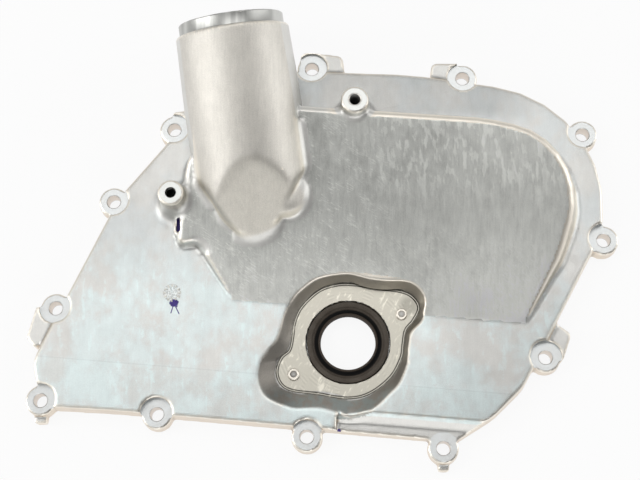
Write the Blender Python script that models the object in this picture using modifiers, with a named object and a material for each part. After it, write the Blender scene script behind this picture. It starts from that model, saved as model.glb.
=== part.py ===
"""Die-cast timing cover with an oil filler neck, a crankshaft seal pocket and twelve bolt ears.

Sizes are in metres. The design axes start at the crankshaft seal: X runs to the right of the cover
seen from outside, Y runs up towards the filler neck and Z points outwards from the mating face.
"""

import math

import bmesh
import bpy
from mathutils import Matrix, Vector

# Flange plate
PLATE_TOP = 0.0140
PLATE_EDGE_ROUND = 0.0012
CAST_DRAFT = 1.5
RAIL_WIDTH = 0.0100
WALL = 0.0040
CEILING_ROUND = 0.0015
SMALLEST_INNER_ROUND = 0.0030
# Metal left below the mating plane and above the spot faces until both are machined
MACHINING_STOCK = 0.0010
# Outer edge of the plate: x, y and corner radius, counterclockwise from the left ear
PLATE_OUTLINE = (
    (-0.1175, 0.0747, 0.0120),
    (-0.1579, -0.0100, 0.0140),
    (-0.1520, -0.0325, 0.0080),
    (-0.1161, -0.0347, 0.0600),
    (0.0529, -0.0501, 0.0030),
    (0.0716, -0.0385, 0.0180),
    (0.0865, -0.0241, 0.0205),
    (0.1286, 0.0538, 0.0140),
    (0.1373, 0.1243, 0.0637),
    (0.0339, 0.1409, 0.1225),
    (-0.0310, 0.1437, 0.0150),
    (-0.0865, 0.1125, 0.0100),
)

# Bolt ears and their clearance holes
EAR_HEIGHT = 0.0095
EAR_RADIUS = 0.0076
EAR_HOLE_RADIUS = 0.0034
EAR_CENTRES = {
    "left_middle": (-0.1479, 0.0180),
    "left_low": (-0.1535, -0.0290),
    "bottom_left": (-0.0951, -0.0361),
    "bottom_middle": (-0.0206, -0.0475),
    "bottom_right": (0.0467, -0.0534),
    "right_low": (0.0984, -0.0084),
    "right_middle": (0.1301, 0.0517),
    "right_high": (0.1219, 0.1084),
    "top_right": (0.0606, 0.1399),
    "top_middle": (-0.0183, 0.1459),
    "neck_side": (-0.0900, 0.1128),
    "left_high": (-0.1204, 0.0739),
}
SPOT_FACE_MARGIN = 0.0003

# Cast tabs beside some ears: outline relative to the ear's centre, with corner radii
TAB_HEIGHT = 0.0115
TABS = {
    "left_middle": (
        (-0.0095, 0.0010, 0.001),
        (-0.0139, -0.0156, 0.003),
        (-0.0085, -0.0215, 0.002),
        (0.0010, -0.0050, 0.001),
    ),
    "right_low": (
        (0.0055, 0.0170, 0.001),
        (0.0132, 0.0115, 0.003),
        (0.0085, -0.0020, 0.002),
        (-0.0040, -0.0010, 0.001),
    ),
    "top_right": (
        (-0.0168, -0.0040, 0.001),
        (0.0000, -0.0040, 0.001),
        (-0.0020, 0.0077, 0.001),
        (-0.0164, 0.0080, 0.003),
    ),
    "top_middle": (
        (-0.0082, -0.0060, 0.001),
        (0.0175, -0.0060, 0.001),
        (0.0163, 0.0065, 0.004),
        (-0.0055, 0.0093, 0.004),
    ),
    "neck_side": (
        (-0.0005, 0.0010, 0.001),
        (0.0150, 0.0010, 0.001),
        (0.0130, 0.0112, 0.002),
        (-0.0010, 0.0090, 0.001),
    ),
}

# Small casting stubs below two of the lower ears: width, reach below the ear's centre, height
STUB_HEIGHT = 0.0065
STUB_ROUND = 0.0010
STUBS = {
    "left_low": (0.0062, 0.0111),
    "bottom_right": (0.0056, 0.0110),
}

# The lower edge, the creases and the panel foot all run at this angle to X
LOWER_EDGE_ANGLE = -4.9

# Lower band of the plate, tilted down a little below its crease
BAND_CREASE_POINT = (0.0264, -0.0228)
BAND_TILT = 1.6
BAND_DEPTH = 0.0600

# Sloping step down to the low strip along the bottom edge, between the two lower ears
STEP_START_X = -0.0052
STEP_TOP_Y = -0.0343
STEP_RUN = 0.0062
STRIP_HEIGHT = EAR_HEIGHT

# Raised panel, a wedge that rises from its crease towards the top at the same angle as the neck
NECK_RISE = 15.0
PANEL_CREASE_POINT = (-0.0599, 0.0206)
WALL_STEEPNESS = 80.0
SOFT_TOP_ROUND = 0.0035
SOFT_FOOT_ROUND = 0.0035
CRISP_TOP_ROUND = 0.0022
CRISP_FOOT_ROUND = 0.0012
# Top edge of the panel: x, y, corner radius and softness of its wall's fillets from 0 to 1
PANEL_TOP = (
    (0.0859, 0.0030, 0.0010, 1.0),
    (0.1045, 0.0435, 0.0600, 1.0),
    (0.1100, 0.0617, 0.0284, 1.0),
    (0.1117, 0.0954, 0.0398, 1.0),
    (0.0690, 0.1051, 0.0600, 1.0),
    (-0.0300, 0.1128, 0.0080, 1.0),
    (-0.0778, 0.0920, 0.0100, 0.0),
    (-0.0823, 0.0659, 0.0200, 0.0),
    (-0.0836, 0.0509, 0.0010, 0.0),
    (-0.0742, 0.0522, 0.0060, 0.0),
    (-0.0574, 0.0202, 0.0010, 0.0),
    (-0.0572, 0.0120, 0.0010, 0.0),
)

# Slotted pad on the panel's left wall
SLOT_CENTRE = (-0.0857, 0.0580)
SLOT_LENGTH = 0.0072
SLOT_WIDTH = 0.0020
SLOT_ANGLE = 3.0
SLOT_DEPTH = 0.0025
SLOT_PAD_TOP = 0.0205
SLOT_PAD_RIM = 0.0012

# Oil filler neck: a tapered tube that leans left and rises out of the plate
NECK_LEAN = 8.3
NECK_THROAT = (-0.0532, 0.1216, 0.0295)
NECK_THROAT_RADIUS = 0.0299
NECK_SHOULDER_RADIUS = 0.0289
NECK_SHOULDER = 0.0354
SPIGOT_LENGTH = 0.0062
SPIGOT_RADIUS = 0.0270
SPIGOT_CHAMFER = 0.0005
SHOULDER_ROUND = 0.0008
BORE_RADIUS = 0.0240
BORE_CHAMFER = 0.0010
# The nose, where the neck runs out on the panel: a slanted facet with steep sides
FACET_RISE = 38.0
FACET_TIP = (-0.0459, 0.0483)
FACET_TIP_HEIGHT = 0.0008
NOSE_DRAFT = 4.0
NOSE_WALL_HEIGHT = 0.0200
NOSE_TOP_ROUND = 0.0014
NOSE_BURIED = 0.0060
# Outline of the facet: it closes outside the tube, which gives the upper part its shape
NOSE_OUTLINE = (
    (-0.0459, 0.0480, 0.0050),
    (-0.0395, 0.0498, 0.0050),
    (-0.0330, 0.0606, 0.0200),
    (-0.0205, 0.0860, 0.0150),
    (-0.0150, 0.1300, 0.0100),
    (-0.0080, 0.1900, 0.0010),
    (-0.1200, 0.1900, 0.0010),
    (-0.0980, 0.1300, 0.0100),
    (-0.0800, 0.0880, 0.0150),
    (-0.0615, 0.0590, 0.0300),
    (-0.0520, 0.0497, 0.0060),
)
TUBE_LOW_END = 0.0800

# Low round swelling beside the nose
SWELLING_CENTRE = (-0.0320, 0.0730)
SWELLING_TOP = 0.0314
SWELLING_RADIUS = 0.0122
SWELLING_DRAFT = 8.0
SWELLING_TOP_ROUND = 0.0018

# Tapped bosses: centre, height of the machined face, radius of the face
TAPPED_BOSSES = {
    "left": (-0.0880, 0.0711, 0.0350, 0.0066),
    "top": (0.0042, 0.1160, 0.0445, 0.0070),
}
BOSS_DRAFT = 2.5
BOSS_FOOT_ROUND = 0.0025
TAP_RADIUS = 0.0025
TAP_DEPTH = 0.0140

# Seal pocket: the rim on the outside and the smaller floor, corner by corner
POCKET_FLOOR = 0.0088
POCKET_RIM = (
    (0.0413, 0.0105, 0.0043),
    (0.0388, 0.0296, 0.0147),
    (-0.0060, 0.0352, 0.0247),
    (-0.0319, 0.0194, 0.0217),
    (-0.0393, -0.0046, 0.0085),
    (-0.0468, -0.0130, 0.0083),
    (-0.0432, -0.0273, 0.0112),
    (-0.0274, -0.0356, 0.0121),
    (0.0099, -0.0396, 0.0171),
    (0.0291, -0.0185, 0.0308),
    (0.0321, 0.0021, 0.0060),
)
POCKET_FLOOR_CORNERS = (
    (0.0369, 0.0138, 0.0050),
    (0.0339, 0.0239, 0.0114),
    (-0.0070, 0.0301, 0.0184),
    (-0.0267, 0.0142, 0.0253),
    (-0.0287, -0.0038, 0.0046),
    (-0.0364, -0.0106, 0.0046),
    (-0.0342, -0.0198, 0.0093),
    (-0.0233, -0.0254, 0.0100),
    (0.0064, -0.0290, 0.0151),
    (0.0248, -0.0146, 0.0122),
    (0.0284, 0.0047, 0.0052),
)
POCKET_GROOVE_WIDTH = 0.0008
POCKET_GROOVE_DEPTH = 0.0004
# How far across and how far up the pocket wall has come, from the floor to the rim
POCKET_WALL = ((0.0, 0.0), (0.06, 0.06), (0.14, 0.16), (0.80, 0.88), (0.91, 0.97), (1.0, 1.0))
NUBS = {
    "left": (-0.0258, -0.0141, 0.0030),
    "right": (0.0273, 0.0159, 0.0026),
}
NUB_HEIGHT = 0.0014
NUB_DRAFT = 5.0

# Crankshaft seal in its bore: its radius, width and radial section from the bore to the lip
SEAL_RADIUS = 0.0210
SEAL_WIDTH = 0.0070
SEAL_SECTION = 0.0072
SEAL_RECESS = 0.0003
SEAL_STOP_STEP = 0.0025
FIT_GAP = 0.0003
HUB_WALL = 0.0045
HUB_BOTTOM = 0.0002
# The seal's own form: its rim, the web behind its front groove, and its dust lip
SEAL_CHAMFER = 0.0004
SEAL_RIM = 0.0018
RIM_DRAFT = 0.0002
FRONT_GROOVE_DEPTH = 0.0016
FRONT_GROOVE_INNER = 0.0036
FRONT_GROOVE_OUTER = 0.0042
WEB_THICKNESS = 0.0008
DUST_LIP_BACK = 0.0002
DUST_LIP_WIDTH = 0.0008
DUST_LIP_DEPTH = 0.0006
DUST_LIP_THICKNESS = 0.0004
WAIST_DEPTH = 0.0011
WAIST_HEIGHT = 0.0042
LIP_EDGE_HEIGHT = 0.0020
LIP_END_HEIGHT = 0.0003
# The spring in its groove round the back of the lip
LIP_TO_SPRING = 0.0026
SPRING_HEIGHT = 0.0017
SPRING_WIRE_RADIUS = 0.0008
SPRING_GROOVE_START = 75.0
SPRING_GROOVE_SWEEP = 180.0
SPRING_GROOVE_STEPS = 4

# Fineness of arcs and round pieces, and how far cutters reach past what they cut
ARC_STEP = 14.0
ARC_SHARE = 0.96
FILLET_STEPS = 3
MITRE_LIMIT = 2.0
SOFTNESS_REACH = 0.0020
ROUND_SIDES = 28
HOLE_SIDES = 20
TAP_SIDES = 16
SEAL_SIDES = 56
NECK_SIDES = 36
NOSE_CORNER_STEPS = 4
POCKET_CORNER_STEPS = 9
SPRING_SIDES = 8
SMOOTH_ANGLE = 40.0
MERGE_DISTANCE = 0.00001
OVERCUT = 0.0100
CUTTER_REACH = 0.2200


def clear_scene():
    for obj in list(bpy.data.objects):
        bpy.data.objects.remove(obj, do_unlink=True)


def new_collection(name):
    collection = bpy.data.collections.new(name)
    bpy.context.scene.collection.children.link(collection)
    return collection


def material(name, colour, roughness, metallic):
    made = bpy.data.materials.new(name)
    made.use_nodes = True
    shader = made.node_tree.nodes["Principled BSDF"]
    shader.inputs["Base Color"].default_value = (*colour, 1.0)
    shader.inputs["Roughness"].default_value = roughness
    shader.inputs["Metallic"].default_value = metallic
    made.diffuse_color = (*colour, 1.0)
    return made


def object_from_bmesh(name, mesh_data, collection):
    """Recalculates the normals outwards and puts the mesh in a new object."""
    bmesh.ops.recalc_face_normals(mesh_data, faces=mesh_data.faces)
    mesh = bpy.data.meshes.new(name)
    mesh_data.to_mesh(mesh)
    mesh_data.free()
    obj = bpy.data.objects.new(name, mesh)
    collection.objects.link(obj)
    return obj


def helper(obj):
    """Keeps a cutter or an added shape out of the finished part."""
    obj.hide_render = True
    obj.display_type = "WIRE"
    return obj


def boolean(target, other, operation):
    modifier = target.modifiers.new(operation.lower() + "_" + other.name, "BOOLEAN")
    modifier.operation = operation
    modifier.solver = "EXACT"
    modifier.object = other


def rounded_outline(corners, corner_steps=None):
    """Points round a closed outline whose corners are arcs. Each corner is x, y and radius."""
    points = []
    count = len(corners)
    sides = [Vector(corners[(i + 1) % count][:2]) - Vector(corners[i][:2]) for i in range(count)]
    turns = []
    for index in range(count):
        arriving, leaving = sides[index - 1], sides[index]
        turns.append(math.atan2(arriving.cross(leaving), arriving.dot(leaving)))
    tangents = [corner[2] * math.tan(abs(turn) / 2) for corner, turn in zip(corners, turns)]
    for index, corner in enumerate(corners):
        here = Vector(corner[:2])
        arriving = sides[index - 1].normalized()
        turn = turns[index]
        room_before = sides[index - 1].length / (tangents[index - 1] + tangents[index])
        room_after = sides[index].length / (tangents[index] + tangents[(index + 1) % count])
        tangent = tangents[index] * min(1.0, ARC_SHARE * room_before, ARC_SHARE * room_after)
        radius = tangent / math.tan(abs(turn) / 2)
        side = math.copysign(1.0, turn)
        start = here - arriving * tangent
        centre = start + Vector((-arriving.y, arriving.x)) * radius * side
        steps = corner_steps or max(1, math.ceil(abs(math.degrees(turn)) / ARC_STEP))
        for step in range(steps + 1):
            spun = Matrix.Rotation(turn * step / steps, 2) @ (start - centre)
            points.append(centre + spun)
    return points


def inward_normals(points):
    """Unit normals that point into a counterclockwise outline, stretched at its corners."""
    normals = []
    for index, here in enumerate(points):
        before = (here - points[index - 1]).normalized()
        after = (points[(index + 1) % len(points)] - here).normalized()
        both = (before + after).normalized()
        normal = Vector((-both.y, both.x))
        squareness = normal.dot(Vector((-before.y, before.x)))
        normals.append(normal / max(1 / MITRE_LIMIT, squareness))
    return normals


def inset(points, distance):
    return [point + normal * distance for point, normal in zip(points, inward_normals(points))]


def inset_corners(corners, distance):
    """Moves the corners of an outline inwards. Outer arcs shrink with the move, inner ones grow."""
    moved = []
    for index, corner in enumerate(corners):
        here = Vector(corner[:2])
        before = (here - Vector(corners[index - 1][:2])).normalized()
        after = (Vector(corners[(index + 1) % len(corners)][:2]) - here).normalized()
        first = Vector((-before.y, before.x))
        second = Vector((-after.y, after.x))
        place = here + (first + second) * distance / (1 + first.dot(second))
        radius = corner[2] - math.copysign(distance, before.cross(after))
        moved.append((place.x, place.y, max(radius, SMALLEST_INNER_ROUND), *corner[3:]))
    return moved


def at_height(points, height):
    return [Vector((point.x, point.y, height)) for point in points]


def loft(name, rings, collection):
    """A closed body whose skin runs from ring to ring, with a flat cap at each end."""
    made = bmesh.new()
    layers = [[made.verts.new(point) for point in ring] for ring in rings]
    for lower, upper in zip(layers, layers[1:]):
        for index in range(len(lower)):
            following = (index + 1) % len(lower)
            made.faces.new((lower[index], lower[following], upper[following], upper[index]))
    made.faces.new(reversed(layers[0]))
    made.faces.new(layers[-1])
    bmesh.ops.triangulate(made, faces=[face for face in made.faces if len(face.verts) == 4])
    return object_from_bmesh(name, made, collection)


def cone(name, centre, bottom, top, bottom_radius, top_radius, collection, sides=ROUND_SIDES):
    """A vertical cylinder or cone frustum from one height to another."""
    made = bmesh.new()
    bmesh.ops.create_cone(
        made,
        cap_ends=True,
        segments=sides,
        radius1=bottom_radius,
        radius2=top_radius,
        depth=top - bottom,
        matrix=Matrix.Translation((centre[0], centre[1], (bottom + top) / 2)),
    )
    return object_from_bmesh(name, made, collection)


def extruded(name, points, bottom, top, collection):
    """A flat outline, drawn as a closed curve and extruded from one height to another."""
    curve = bpy.data.curves.new(name, "CURVE")
    curve.dimensions = "2D"
    curve.fill_mode = "BOTH"
    curve.extrude = (top - bottom) / 2
    spline = curve.splines.new("POLY")
    spline.points.add(len(points) - 1)
    for spot, point in zip(spline.points, points):
        spot.co = (point.x, point.y, 0.0, 1.0)
    spline.use_cyclic_u = True
    drawn = bpy.data.objects.new(name + "_outline", curve)
    collection.objects.link(drawn)
    graph = bpy.context.evaluated_depsgraph_get()
    mesh = bpy.data.meshes.new_from_object(drawn.evaluated_get(graph))
    bpy.data.objects.remove(drawn, do_unlink=True)
    made = bmesh.new()
    made.from_mesh(mesh)
    bpy.data.meshes.remove(mesh)
    bmesh.ops.remove_doubles(made, verts=made.verts, dist=MERGE_DISTANCE)
    bmesh.ops.translate(made, vec=(0.0, 0.0, (bottom + top) / 2), verts=made.verts)
    return object_from_bmesh(name, made, collection)


def grow(height, angle):
    """How far a wall of this height leans over at this draft angle."""
    return height * math.tan(math.radians(angle))


def crease_frame(point):
    """Unit vectors along the lower edge and up the cover from it, through a point."""
    angle = math.radians(LOWER_EDGE_ANGLE)
    along = Vector((math.cos(angle), math.sin(angle)))
    up = Vector((-along.y, along.x))
    return Vector(point), along, up


def panel_height(point, below=0.0):
    """Height of the panel's plane over a point, or of a plane parallel to it and below it."""
    start, _, up = crease_frame(PANEL_CREASE_POINT)
    climbed = (Vector(point[:2]) - start).dot(up)
    slope = math.radians(NECK_RISE)
    return PLATE_TOP + climbed * math.tan(slope) - below / math.cos(slope)


def wall_profile(height, top_round, foot_round):
    """Steps in and up a wall that starts and ends in fillets, which shrink on a low wall."""
    reach = top_round + foot_round
    steepest = math.radians(WALL_STEEPNESS)
    lean = steepest
    if height < reach * (1 - math.cos(steepest)):
        lean = math.acos(1 - height / reach)
    straight = max(0.0, height - reach * (1 - math.cos(lean)))
    run = reach * math.sin(lean) + straight / math.tan(max(lean, 0.01))
    angles = [lean * step / FILLET_STEPS for step in range(FILLET_STEPS + 1)]
    steps = []
    for angle in angles[1:]:
        steps.append((foot_round * math.sin(angle), foot_round * (1 - math.cos(angle))))
    for angle in reversed(angles):
        steps.append((run - top_round * math.sin(angle), height - top_round * (1 - math.cos(angle))))
    return steps


def panel_rings(inside):
    """Rings of the raised panel from below the plate's face to its sloping top.

    The inner one, for the hollow behind, is a wall's thickness in and below.
    """
    shift = WALL if inside else 0.0
    top = rounded_outline(inset_corners(PANEL_TOP, shift) if inside else PANEL_TOP)
    floor = PLATE_TOP - shift
    base = floor - (OVERCUT if inside else WALL)
    rings = [[] for _ in range(2 * FILLET_STEPS + 2)]
    for point, normal, soft in zip(top, inward_normals(top), corner_softness(top)):
        top_round = CRISP_TOP_ROUND + soft * (SOFT_TOP_ROUND - CRISP_TOP_ROUND)
        foot_round = CRISP_FOOT_ROUND + soft * (SOFT_FOOT_ROUND - CRISP_FOOT_ROUND)
        top_z = panel_height(point, shift)
        steps = wall_profile(max(0.0, top_z - floor), top_round, foot_round)
        run = steps[-1][0]
        foot = point - normal * run
        rings[0].append(Vector((foot.x, foot.y, base)))
        for number, (across, up) in enumerate(steps):
            place = foot + normal * across
            level = floor + up
            if top_z <= floor:
                level = base + (top_z - base) * (number + 1) / len(steps)
            rings[number + 1].append(Vector((place.x, place.y, level)))
    return rings


def corner_softness(points):
    """Softness of the panel's wall at each outline point, from the corners next to it."""
    found = []
    for point in points:
        shares = []
        for corner in PANEL_TOP:
            distance = (Vector(corner[:2]) - point).length
            shares.append((1 / max(distance, SOFTNESS_REACH) ** 3, corner[3]))
        total = sum(weight for weight, _ in shares)
        found.append(sum(weight * soft for weight, soft in shares) / total)
    return found


def neck_axes():
    """The throat point, the direction up the neck, the direction across it and the one out."""
    rise = math.radians(NECK_RISE)
    lean = math.radians(NECK_LEAN)
    along = Vector((-math.sin(lean) * math.cos(rise), math.cos(lean) * math.cos(rise), math.sin(rise)))
    across = Vector((math.cos(lean), math.sin(lean), 0.0))
    out = across.cross(along).normalized()
    return Vector(NECK_THROAT), along, across, out


def neck_ring(station, radius):
    """A round ring across the neck, this far up its axis from the throat."""
    throat, along, across, out = neck_axes()
    centre = throat + along * station
    ring = []
    for side in range(NECK_SIDES):
        angle = 2 * math.pi * side / NECK_SIDES
        ring.append(centre + across * math.cos(angle) * radius + out * math.sin(angle) * radius)
    return ring


def facet_height(point, below):
    """Height of the nose's slanted facet over a point, or of a plane parallel to it and below."""
    _, along, _, _ = neck_axes()
    uphill = Vector(along[:2]).normalized()
    climbed = (Vector(point[:2]) - Vector(FACET_TIP)).dot(uphill)
    slope = math.radians(FACET_RISE)
    tip = panel_height(FACET_TIP) + FACET_TIP_HEIGHT
    return tip + climbed * math.tan(slope) - below / math.cos(slope)


def nose_envelope(name, shift, collection):
    """A block with the facet for its top, and drafted walls round the outline of the nose."""
    corners = inset_corners(NOSE_OUTLINE, shift)
    lowest = panel_height(FACET_TIP) - NOSE_BURIED - OVERCUT
    rings = []
    edge = NOSE_TOP_ROUND
    half = edge * (1 - math.sqrt(0.5))
    for inward, drop in ((0.0, edge), (half, half), (edge, 0.0)):
        ring = []
        for point in rounded_outline(inset_corners(corners, inward), NOSE_CORNER_STEPS):
            ring.append(Vector((point.x, point.y, facet_height(point, shift) - drop)))
        rings.append(ring)
    lean = grow(NOSE_WALL_HEIGHT, NOSE_DRAFT)
    foot = rounded_outline(inset_corners(corners, -lean), NOSE_CORNER_STEPS)
    return helper(loft(name, [at_height(foot, lowest)] + rings, collection))


def neck_body(collection):
    """The outside of the neck: the machined spigot, its shoulder, the tapered tube and the nose."""
    end = NECK_SHOULDER + SPIGOT_LENGTH
    stations = (
        (-TUBE_LOW_END, NECK_THROAT_RADIUS),
        (0.0, NECK_THROAT_RADIUS),
        (NECK_SHOULDER - SHOULDER_ROUND, NECK_SHOULDER_RADIUS),
        (NECK_SHOULDER, NECK_SHOULDER_RADIUS - SHOULDER_ROUND),
        (NECK_SHOULDER, SPIGOT_RADIUS),
        (end - SPIGOT_CHAMFER, SPIGOT_RADIUS),
        (end, SPIGOT_RADIUS - SPIGOT_CHAMFER),
    )
    rings = [neck_ring(station, radius) for station, radius in stations]
    body = helper(loft("neck_outside", rings, collection))
    boolean(body, nose_envelope("nose_outside", 0.0, collection), "INTERSECT")
    return body


def neck_bore(collection):
    """The inside of the neck, open at the spigot and running into the hollow behind the panel."""
    end = NECK_SHOULDER + SPIGOT_LENGTH
    stations = (
        (-TUBE_LOW_END, NECK_THROAT_RADIUS - WALL),
        (0.0, NECK_THROAT_RADIUS - WALL),
        (end - BORE_CHAMFER, BORE_RADIUS),
        (end, BORE_RADIUS + BORE_CHAMFER),
        (end + OVERCUT, BORE_RADIUS + BORE_CHAMFER + OVERCUT),
    )
    rings = [neck_ring(station, radius) for station, radius in stations]
    bore = helper(loft("neck_bore", rings, collection))
    boolean(bore, nose_envelope("nose_inside", WALL, collection), "INTERSECT")
    return bore


def plate_body(name, collection):
    """The flange plate up to its rounded outer edge, a little deep so that its face can be cut."""
    top = rounded_outline(PLATE_OUTLINE)
    lean = grow(PLATE_TOP, CAST_DRAFT)
    corner = PLATE_EDGE_ROUND
    half = corner * (1 - math.sqrt(0.5))
    rings = [
        at_height(inset(top, -lean), -MACHINING_STOCK),
        at_height(inset(top, -grow(corner, CAST_DRAFT)), PLATE_TOP - corner),
        at_height(inset(top, half), PLATE_TOP - half),
        at_height(inset(top, corner), PLATE_TOP),
    ]
    return loft(name, rings, collection)


def ear_shapes(target, collection):
    """Adds the ears, their tabs and stubs to the plate, then sinks the machined spot faces."""
    bottom = -MACHINING_STOCK * 1.5
    top = EAR_HEIGHT + MACHINING_STOCK
    lean = grow(top - bottom, CAST_DRAFT)
    for name, centre in EAR_CENTRES.items():
        ear = cone("ear_" + name, centre, bottom, top, EAR_RADIUS + lean, EAR_RADIUS, collection)
        boolean(target, helper(ear), "UNION")
    for name, corners in TABS.items():
        centre = Vector(EAR_CENTRES[name])
        placed = [(centre.x + x, centre.y + y, radius) for x, y, radius in corners]
        points = rounded_outline(counterclockwise(placed))
        tab = extruded("tab_" + name, points, -MACHINING_STOCK * 2, TAB_HEIGHT, collection)
        boolean(target, helper(tab), "UNION")
    for name, (width, reach) in STUBS.items():
        centre = Vector(EAR_CENTRES[name])
        placed = [
            (centre.x - width / 2, centre.y, STUB_ROUND),
            (centre.x - width / 2, centre.y - reach, STUB_ROUND),
            (centre.x + width / 2, centre.y - reach, STUB_ROUND),
            (centre.x + width / 2, centre.y, STUB_ROUND),
        ]
        points = rounded_outline(placed)
        stub = extruded("stub_" + name, points, -MACHINING_STOCK * 2.5, STUB_HEIGHT, collection)
        boolean(target, helper(stub), "UNION")


def spot_faces(target, collection):
    for name, centre in EAR_CENTRES.items():
        radius = EAR_RADIUS + SPOT_FACE_MARGIN
        above = PLATE_TOP + OVERCUT
        cutter = cone("spot_face_" + name, centre, EAR_HEIGHT, above, radius, radius, collection)
        boolean(target, helper(cutter), "DIFFERENCE")


def ear_holes(target, collection):
    for name, centre in EAR_CENTRES.items():
        radius = EAR_HOLE_RADIUS
        above = EAR_HEIGHT + OVERCUT
        cutter = cone("ear_hole_" + name, centre, -OVERCUT, above, radius, radius, collection, HOLE_SIDES)
        boolean(target, helper(cutter), "DIFFERENCE")


def counterclockwise(corners):
    area = 0.0
    for index, corner in enumerate(corners):
        before = corners[index - 1]
        area += before[0] * corner[1] - corner[0] * before[1]
    return corners if area > 0 else list(reversed(corners))


def slab_above(name, start, along, up, profile, reach, collection):
    """A long cutter with a constant profile of steps up the cover and heights."""
    rings = []
    for distance in (-reach[0], reach[1]):
        ring = []
        for across, height in profile:
            place = start + along * distance + up * across
            ring.append(Vector((place.x, place.y, height)))
        rings.append(ring)
    return helper(loft(name, rings, collection))


def lower_band(target, collection):
    """Tilts the face of the plate below its crease, and cuts the step and the low strip."""
    start, along, up = crease_frame(BAND_CREASE_POINT)
    drop = grow(BAND_DEPTH, BAND_TILT)
    above = PLATE_TOP + OVERCUT
    profile = ((0.0, PLATE_TOP), (-BAND_DEPTH, PLATE_TOP - drop), (-BAND_DEPTH, above), (0.0, above))
    reach = (CUTTER_REACH, CUTTER_REACH)
    tilt = slab_above("lower_band_tilt", start, along, up, profile, reach, collection)
    boolean(target, tilt, "DIFFERENCE")
    start, along, up = crease_frame((0.0, STEP_TOP_Y))
    profile = (
        (OVERCUT * STEP_RUN / (PLATE_TOP - STRIP_HEIGHT), above),
        (-STEP_RUN, STRIP_HEIGHT),
        (-BAND_DEPTH, STRIP_HEIGHT),
        (-BAND_DEPTH, above),
    )
    reach = (-STEP_START_X, CUTTER_REACH)
    step = slab_above("lower_step", start, along, up, profile, reach, collection)
    boolean(target, step, "DIFFERENCE")


def pocket_rings(grown):
    """Rings of the seal pocket from its floor up past its rim, or of the jacket round it."""
    steps = POCKET_CORNER_STEPS
    floor = rounded_outline(inset_corners(POCKET_FLOOR_CORNERS, -grown), steps)
    rim = rounded_outline(inset_corners(POCKET_RIM, -grown), steps)
    bottom = POCKET_FLOOR - grown
    rings = []
    if not grown:
        machined = rounded_outline(inset_corners(POCKET_FLOOR_CORNERS, POCKET_GROOVE_WIDTH), steps)
        rings.append(at_height(machined, POCKET_FLOOR))
        bottom = POCKET_FLOOR - POCKET_GROOVE_DEPTH
    for across, up in POCKET_WALL:
        ring = []
        for low, high in zip(floor, rim):
            place = low.lerp(high, across)
            brim = max(PLATE_TOP, panel_height(high)) - grown
            ring.append(Vector((place.x, place.y, bottom + (brim - bottom) * up)))
        rings.append(ring)
    highest = max(point.z for point in rings[-1]) + OVERCUT + grown
    rings.append(at_height(rings[-1], highest))
    return rings


def boss_body(name, centre, radius, top, draft, foot_round, top_round, collection):
    """A drafted round boss on the plate, with a fillet round its foot and a rounded top edge."""
    foot = radius + grow(top - PLATE_TOP, draft)
    angles = [math.pi / 2 * step / FILLET_STEPS for step in range(FILLET_STEPS + 1)]
    profile = [(foot + foot_round, PLATE_TOP - WALL / 2)]
    if foot_round:
        for angle in angles:
            across = foot + foot_round * (1 - math.sin(angle))
            profile.append((across, PLATE_TOP + foot_round * (1 - math.cos(angle))))
    if top_round:
        for angle in angles:
            across = radius - top_round * (1 - math.cos(angle))
            profile.append((across, top - top_round * (1 - math.sin(angle))))
    else:
        profile.append((radius, top))
    rings = []
    for across, height in profile:
        ring = []
        for side in range(ROUND_SIDES):
            angle = 2 * math.pi * side / ROUND_SIDES
            place = Vector((*centre, height))
            ring.append(place + Vector((math.cos(angle), math.sin(angle), 0.0)) * across)
        rings.append(ring)
    return helper(loft(name, rings, collection))


def boss_shapes(target, collection):
    """Adds the two tapped bosses and the low swelling beside the nose."""
    for name, (x, y, top, radius) in TAPPED_BOSSES.items():
        boss = boss_body("boss_" + name, (x, y), radius, top, BOSS_DRAFT, BOSS_FOOT_ROUND, 0.0, collection)
        boolean(target, boss, "UNION")
    swelling = boss_body(
        "swelling",
        SWELLING_CENTRE,
        SWELLING_RADIUS,
        SWELLING_TOP,
        SWELLING_DRAFT,
        0.0,
        SWELLING_TOP_ROUND,
        collection,
    )
    boolean(target, swelling, "UNION")


def tapped_holes(target, collection):
    for name, (x, y, top, _) in TAPPED_BOSSES.items():
        bottom = top - TAP_DEPTH
        above = top + OVERCUT
        hole = cone("tap_" + name, (x, y), bottom, above, TAP_RADIUS, TAP_RADIUS, collection, TAP_SIDES)
        boolean(target, helper(hole), "DIFFERENCE")


def hollow(collection):
    """The cavity behind the cover: under the plate, under the panel and along the neck."""
    inner = rounded_outline(inset_corners(PLATE_OUTLINE, RAIL_WIDTH))
    ceiling = PLATE_TOP - WALL
    lean = grow(ceiling, CAST_DRAFT)
    rings = [
        at_height(inset(inner, -grow(OVERCUT, CAST_DRAFT)), -OVERCUT),
        at_height(inset(inner, lean), ceiling - CEILING_ROUND),
        at_height(inset(inner, lean + CEILING_ROUND), ceiling),
    ]
    cavity = helper(loft("hollow", rings, collection))
    boolean(cavity, helper(loft("hollow_panel", panel_rings(inside=True), collection)), "UNION")
    boolean(cavity, neck_bore(collection), "UNION")
    jacket = helper(loft("pocket_jacket", pocket_rings(WALL), collection))
    boolean(cavity, jacket, "DIFFERENCE")
    hub_radius = SEAL_RADIUS + HUB_WALL
    lean = grow(POCKET_FLOOR, CAST_DRAFT)
    hub = cone(
        "hub", (0.0, 0.0), -OVERCUT * 2, POCKET_FLOOR, hub_radius, hub_radius + lean, collection, SEAL_SIDES
    )
    boolean(cavity, helper(hub), "DIFFERENCE")
    for name, (x, y, top, radius) in TAPPED_BOSSES.items():
        bottom = top - TAP_DEPTH - WALL
        column = cone("column_" + name, (x, y), bottom, top, TAP_RADIUS + WALL, radius + WALL, collection)
        boolean(cavity, helper(column), "DIFFERENCE")
    return cavity


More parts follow.
